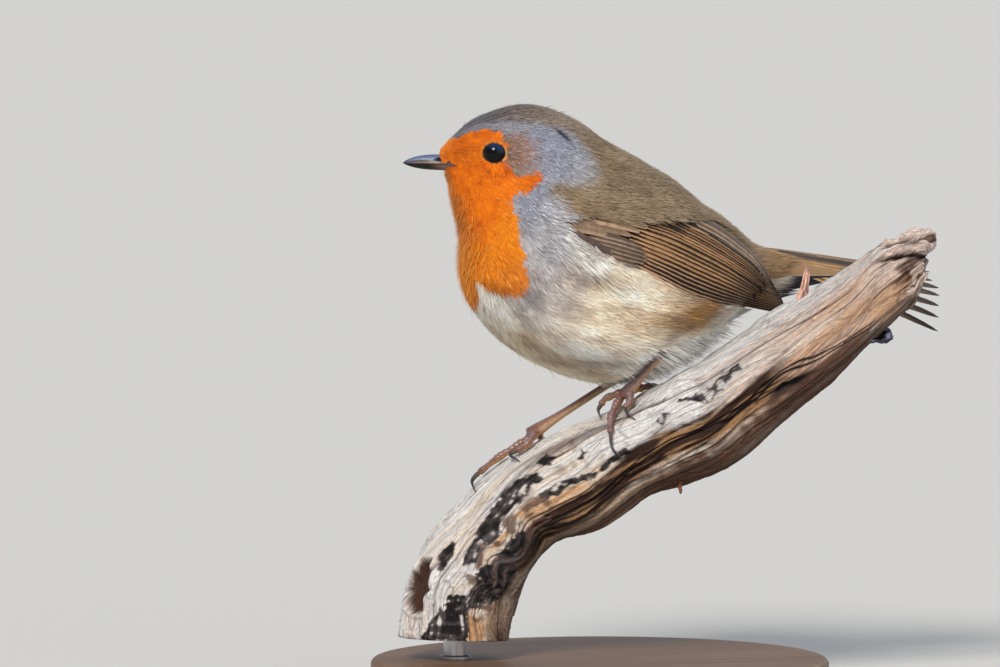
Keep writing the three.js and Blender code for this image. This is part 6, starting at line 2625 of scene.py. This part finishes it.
    def twigs(self, finishes: Finishes) -> None:
        """Broken twigs and a thorn: short tubes with a lumpy, grooved surface.

        Args:
            finishes: all finishes.
        """
        work = Patchwork()
        rows, columns = 60, 44
        share = np.linspace(0, 1, rows)
        angle = np.arange(columns) * TAU / columns
        for k, (root, tip, radii, tone) in enumerate((
                ((48.4, 1.0, 92.0), (50.4, 1.4, 103.2), (1.7, 0.7), (0.4, 0.23, 0.18)),
                ((59.0, 1.0, 88.2), (71.2, 2.0, 86.0), (3.1, 1.8), (0.05, 0.053, 0.08)),
                ((18.6, 4.0, 51.5), (19.6, 5.2, 47.9), (1.1, 0.3), (0.12, 0.05, 0.03)))):
            ends = [self.branch.place(*(np.array(float(q)) for q in p)) for p in (root, tip)]
            bend = 0.5 * np.sin(math.pi * share)[:, None] * np.array([0.4, -0.2, 0.3])
            line = ends[0] + (ends[1] - ends[0]) * share[:, None] + bend
            _, side, up = frames_along(line, (0.3, -1.0, 0.2))
            base = radii[0] * (1 - share) ** 1.6 + radii[1] * (1 - (1 - share) ** 1.6)
            lumps = layered_noise(np.stack([np.cos(angle)[None] * 2.2 + 0 * share[:, None],
                                            np.sin(angle)[None] * 2.2 + 0 * share[:, None],
                                            share[:, None] * 5 + 0 * angle[None]], -1), 3, 90 + k)
            radius = base[:, None] * (1 + 0.4 * lumps) * (1 - 0.7 * ramp(0.9, 1.0, share))[:, None]
            points, faces = tube(line, side, up, radius, radius)
            # painted shade in the hollows between lumps and painted light on the lumps
            tint = mix(np.array(tone) * 0.5, np.array(tone) * 1.9, ramp(-0.35, 0.4, lumps))
            if k == 1:
                pit = bump(share[:, None], 0.68, 0.17) * bump(np.cos(angle - 1.6)[None], 1, 0.4)
                points[:-2] -= (pit[..., None] * up[:, None] * 1.7).reshape(-1, 3)
                tint = tint * (1 + 1.6 * ramp(0.04, 0.2, pit))[..., None]
                # the pit's centre is painted black as shade inside it
                tint = mix(tint, (0.002, 0.002, 0.003), ramp(0.25, 0.5, pit))
            work.add(points, faces, with_ends(tint.reshape(-1, 3)))
        settle(work.build("twigs", finishes.twig), Slot.BRANCH)


# ---- stand -----------------------------------------------------------------------------


@dataclass
class Stand:
    """Turned base with a bead, and a short rod up to the branch."""

    branch: Branch
    radius: float = 56.0
    height: float = 7.0
    edge: float = 1.4
    columns: int = 160
    rod_radius: float = 3.0

    def lathe(self, profile: Array, centre: Pair) -> tuple[Array, list[Array]]:
        """Profile of (radius, height) rows carried round an upright axis.

        Args:
            profile: rows of radius and height.
            centre: where the axis stands.

        Returns:
            The points and the faces.
        """
        angle = np.arange(self.columns) * TAU / self.columns
        ring = np.stack([centre[0] + profile[:, :1] * np.cos(angle),
                         centre[1] + profile[:, :1] * np.sin(angle),
                         profile[:, 1:] + 0 * angle], -1)
        points = capped(ring)
        return points, outward(points, tube_faces(len(profile), self.columns))

    def build(self, finishes: Finishes) -> None:
        """Base with a quarter-round rim, and the rod.

        Args:
            finishes: all finishes.
        """
        turn = np.linspace(0, math.pi / 2, 10)
        rim = np.stack([self.radius - self.edge + self.edge * np.cos(turn),
                        self.height - self.edge + self.edge * np.sin(turn)], -1)
        steps = np.linspace(self.radius - self.edge, 0.5, 14)[1:]
        top = np.stack([steps, np.full(len(steps), self.height)], -1)
        foot = np.array([[0.5, 0.0], [self.radius - 0.6, 0.0], [self.radius, 0.6],
                         [self.radius, self.height / 2]])
        profile = np.concatenate([foot, rim, top])
        points, faces = self.lathe(profile, (0.0, 0.0))
        tone = np.clip(0.4 + 0.5 * noise(points * np.array([0.02, 0.07, 0.07]), 7), 0, 1)
        tint = mix((0.2, 0.105, 0.05), (0.12, 0.06, 0.03), tone)
        work = Patchwork()
        work.add(points, faces, tint)
        piece = work.build("base", finishes.base)
        settle(piece, Slot.BASE, "stand_base")
        along, height, _ = self.branch.stations[0]
        foot_x, foot_y, _ = self.branch.place(np.array(along), np.array(0.0), np.array(0.0))
        low, high = self.height, height + 0.2
        profile = np.array([[0.3, low], [self.rod_radius + 0.9, low],
                            [self.rod_radius + 0.9, low + 0.6],
                            [self.rod_radius, low + 0.9], [self.rod_radius, high], [0.3, high]])
        points, faces = self.lathe(profile, (float(foot_x), float(foot_y)))
        work = Patchwork()
        work.add(points, faces, np.array([0.55, 0.55, 0.57]))
        settle(work.build("rod", finishes.rod, smooth=False), Slot.ROD, "stand_rod")


# ---- studio ----------------------------------------------------------------------------


@dataclass
class Studio:
    """Camera, pale floor and soft lights."""

    aim: Triple = (-23.2, 7.54, 86.5)
    azimuth: float = -18.0
    elevation: float = 4.0
    distance: float = 2700.0
    lens: float = 398.5
    floor: float = 40.0
    floor_colour: tuple[float, ...] = (0.62, 0.615, 0.6, 1)
    sky_colour: tuple[float, ...] = (0.84, 0.9, 1.0, 1)
    sky_strength: float = 0.42
    sensor: float = 36.0

    def camera(self) -> None:
        """Long-lens camera at the viewing angle."""
        a, e = math.radians(self.azimuth), math.radians(self.elevation)
        back = Vector((math.sin(a) * math.cos(e), -math.cos(a) * math.cos(e), math.sin(e)))
        data = bpy.data.cameras.new("camera")
        data.lens, data.sensor_width = self.lens, self.sensor
        data.clip_start, data.clip_end = 0.05, 100.0
        camera = bpy.data.objects.new("camera", data)
        bpy.context.scene.collection.objects.link(camera)
        camera.rotation_mode = "QUATERNION"
        camera.location = Vector(self.aim) * MM + back * (self.distance * MM)
        camera.rotation_quaternion = (-back).to_track_quat("-Z", "Y")
        bpy.context.scene.camera = camera

    def ground(self) -> None:
        """Pale plain floor."""
        mesh = bpy.data.meshes.new("floor")
        half = self.floor / 2
        mesh.from_pydata([(-half, -half, 0), (half, -half, 0), (half, half, 0), (-half, half, 0)],
                         [], [(0, 1, 2, 3)])
        mesh.materials.append(blank("floor",
                                    {"Base Color": self.floor_colour, "Roughness": 0.9})[0])
        piece = bpy.data.objects.new("floor", mesh)
        bpy.context.scene.collection.objects.link(piece)

    def sun(self, name: str, toward: Triple, softness: float, power: float,
            colour: Triple) -> None:
        """Distant soft light that comes from a direction.

        Args:
            name: the light's name.
            toward: direction from the model to the light.
            softness: its angle across in degrees.
            power: its strength.
            colour: its colour.
        """
        data = bpy.data.lights.new(name, "SUN")
        data.energy, data.color, data.angle = power, colour, math.radians(softness)
        lamp = bpy.data.objects.new(name, data)
        bpy.context.scene.collection.objects.link(lamp)
        lamp.rotation_mode = "QUATERNION"
        lamp.rotation_quaternion = Vector(toward).to_track_quat("Z", "Y")

    def lights(self) -> None:
        """Key from the front left and above, fill from the right, and a pale sky."""
        self.sun("key", (-0.72, -1.0, 0.98), 20.0, 2.85, (1.0, 0.945, 0.86))
        self.sun("fill", (0.9, 0.6, 0.9), 50.0, 0.55, (0.93, 0.96, 1.0))
        self.sun("bounce", (0.5, -1.0, 0.16), 60.0, 0.42, (1.0, 0.97, 0.9))
        world = bpy.data.worlds.new("studio")
        world.use_nodes = True
        sky = world.node_tree.nodes["Background"]
        sky.inputs["Color"].default_value = self.sky_colour
        sky.inputs["Strength"].default_value = self.sky_strength
        bpy.context.scene.world = world
        bpy.context.scene.view_settings.view_transform = "Standard"

    def build(self) -> None:
        """Sets the whole studio up."""
        self.camera()
        self.ground()
        self.lights()


# ---- assembly --------------------------------------------------------------------------


def main() -> None:
    """Builds every piece in order."""
    Studio().build()
    finishes = Finishes()
    body, markings = Body(), Markings()
    plumage = Plumage(body)
    branch = Branch()
    eyes = Eyes(body)
    wings = [Wing(body, markings, side) for side in (1, -1)]
    thighs = [Thigh(foot, markings) for foot in (LEFT_FOOT, RIGHT_FOOT)]
    Skin(plumage, markings).build(finishes.plumage, thighs)
    legs = [Leg(foot, branch) for foot in (LEFT_FOOT, RIGHT_FOOT)]
    Coat(plumage, markings, eyes, wings, [leg.shank() for leg in legs]).build(finishes.plumage)
    thigh_work = Patchwork()
    for thigh in thighs:
        thigh.coat(thigh_work)
    settle(thigh_work.build("coat_thighs", finishes.plumage, patches=True), Slot.PLUMAGE)
    eyes.build(finishes)
    eyes.ring(finishes.plumage)
    bill = Bill(body)
    for way in (1, -1):
        bill.mandible(way, finishes.horn)
    bill.bristles(finishes.plumage)
    for wing in wings:
        wing.build(finishes)
    Tail().build(finishes)
    for leg in legs:
        leg.build(finishes)
    Bark(branch).build(finishes)
    Stand(branch).build(finishes)


if __name__ == "__main__":
    logging.basicConfig(level=logging.INFO, format="%(name)s %(message)s")
    main()
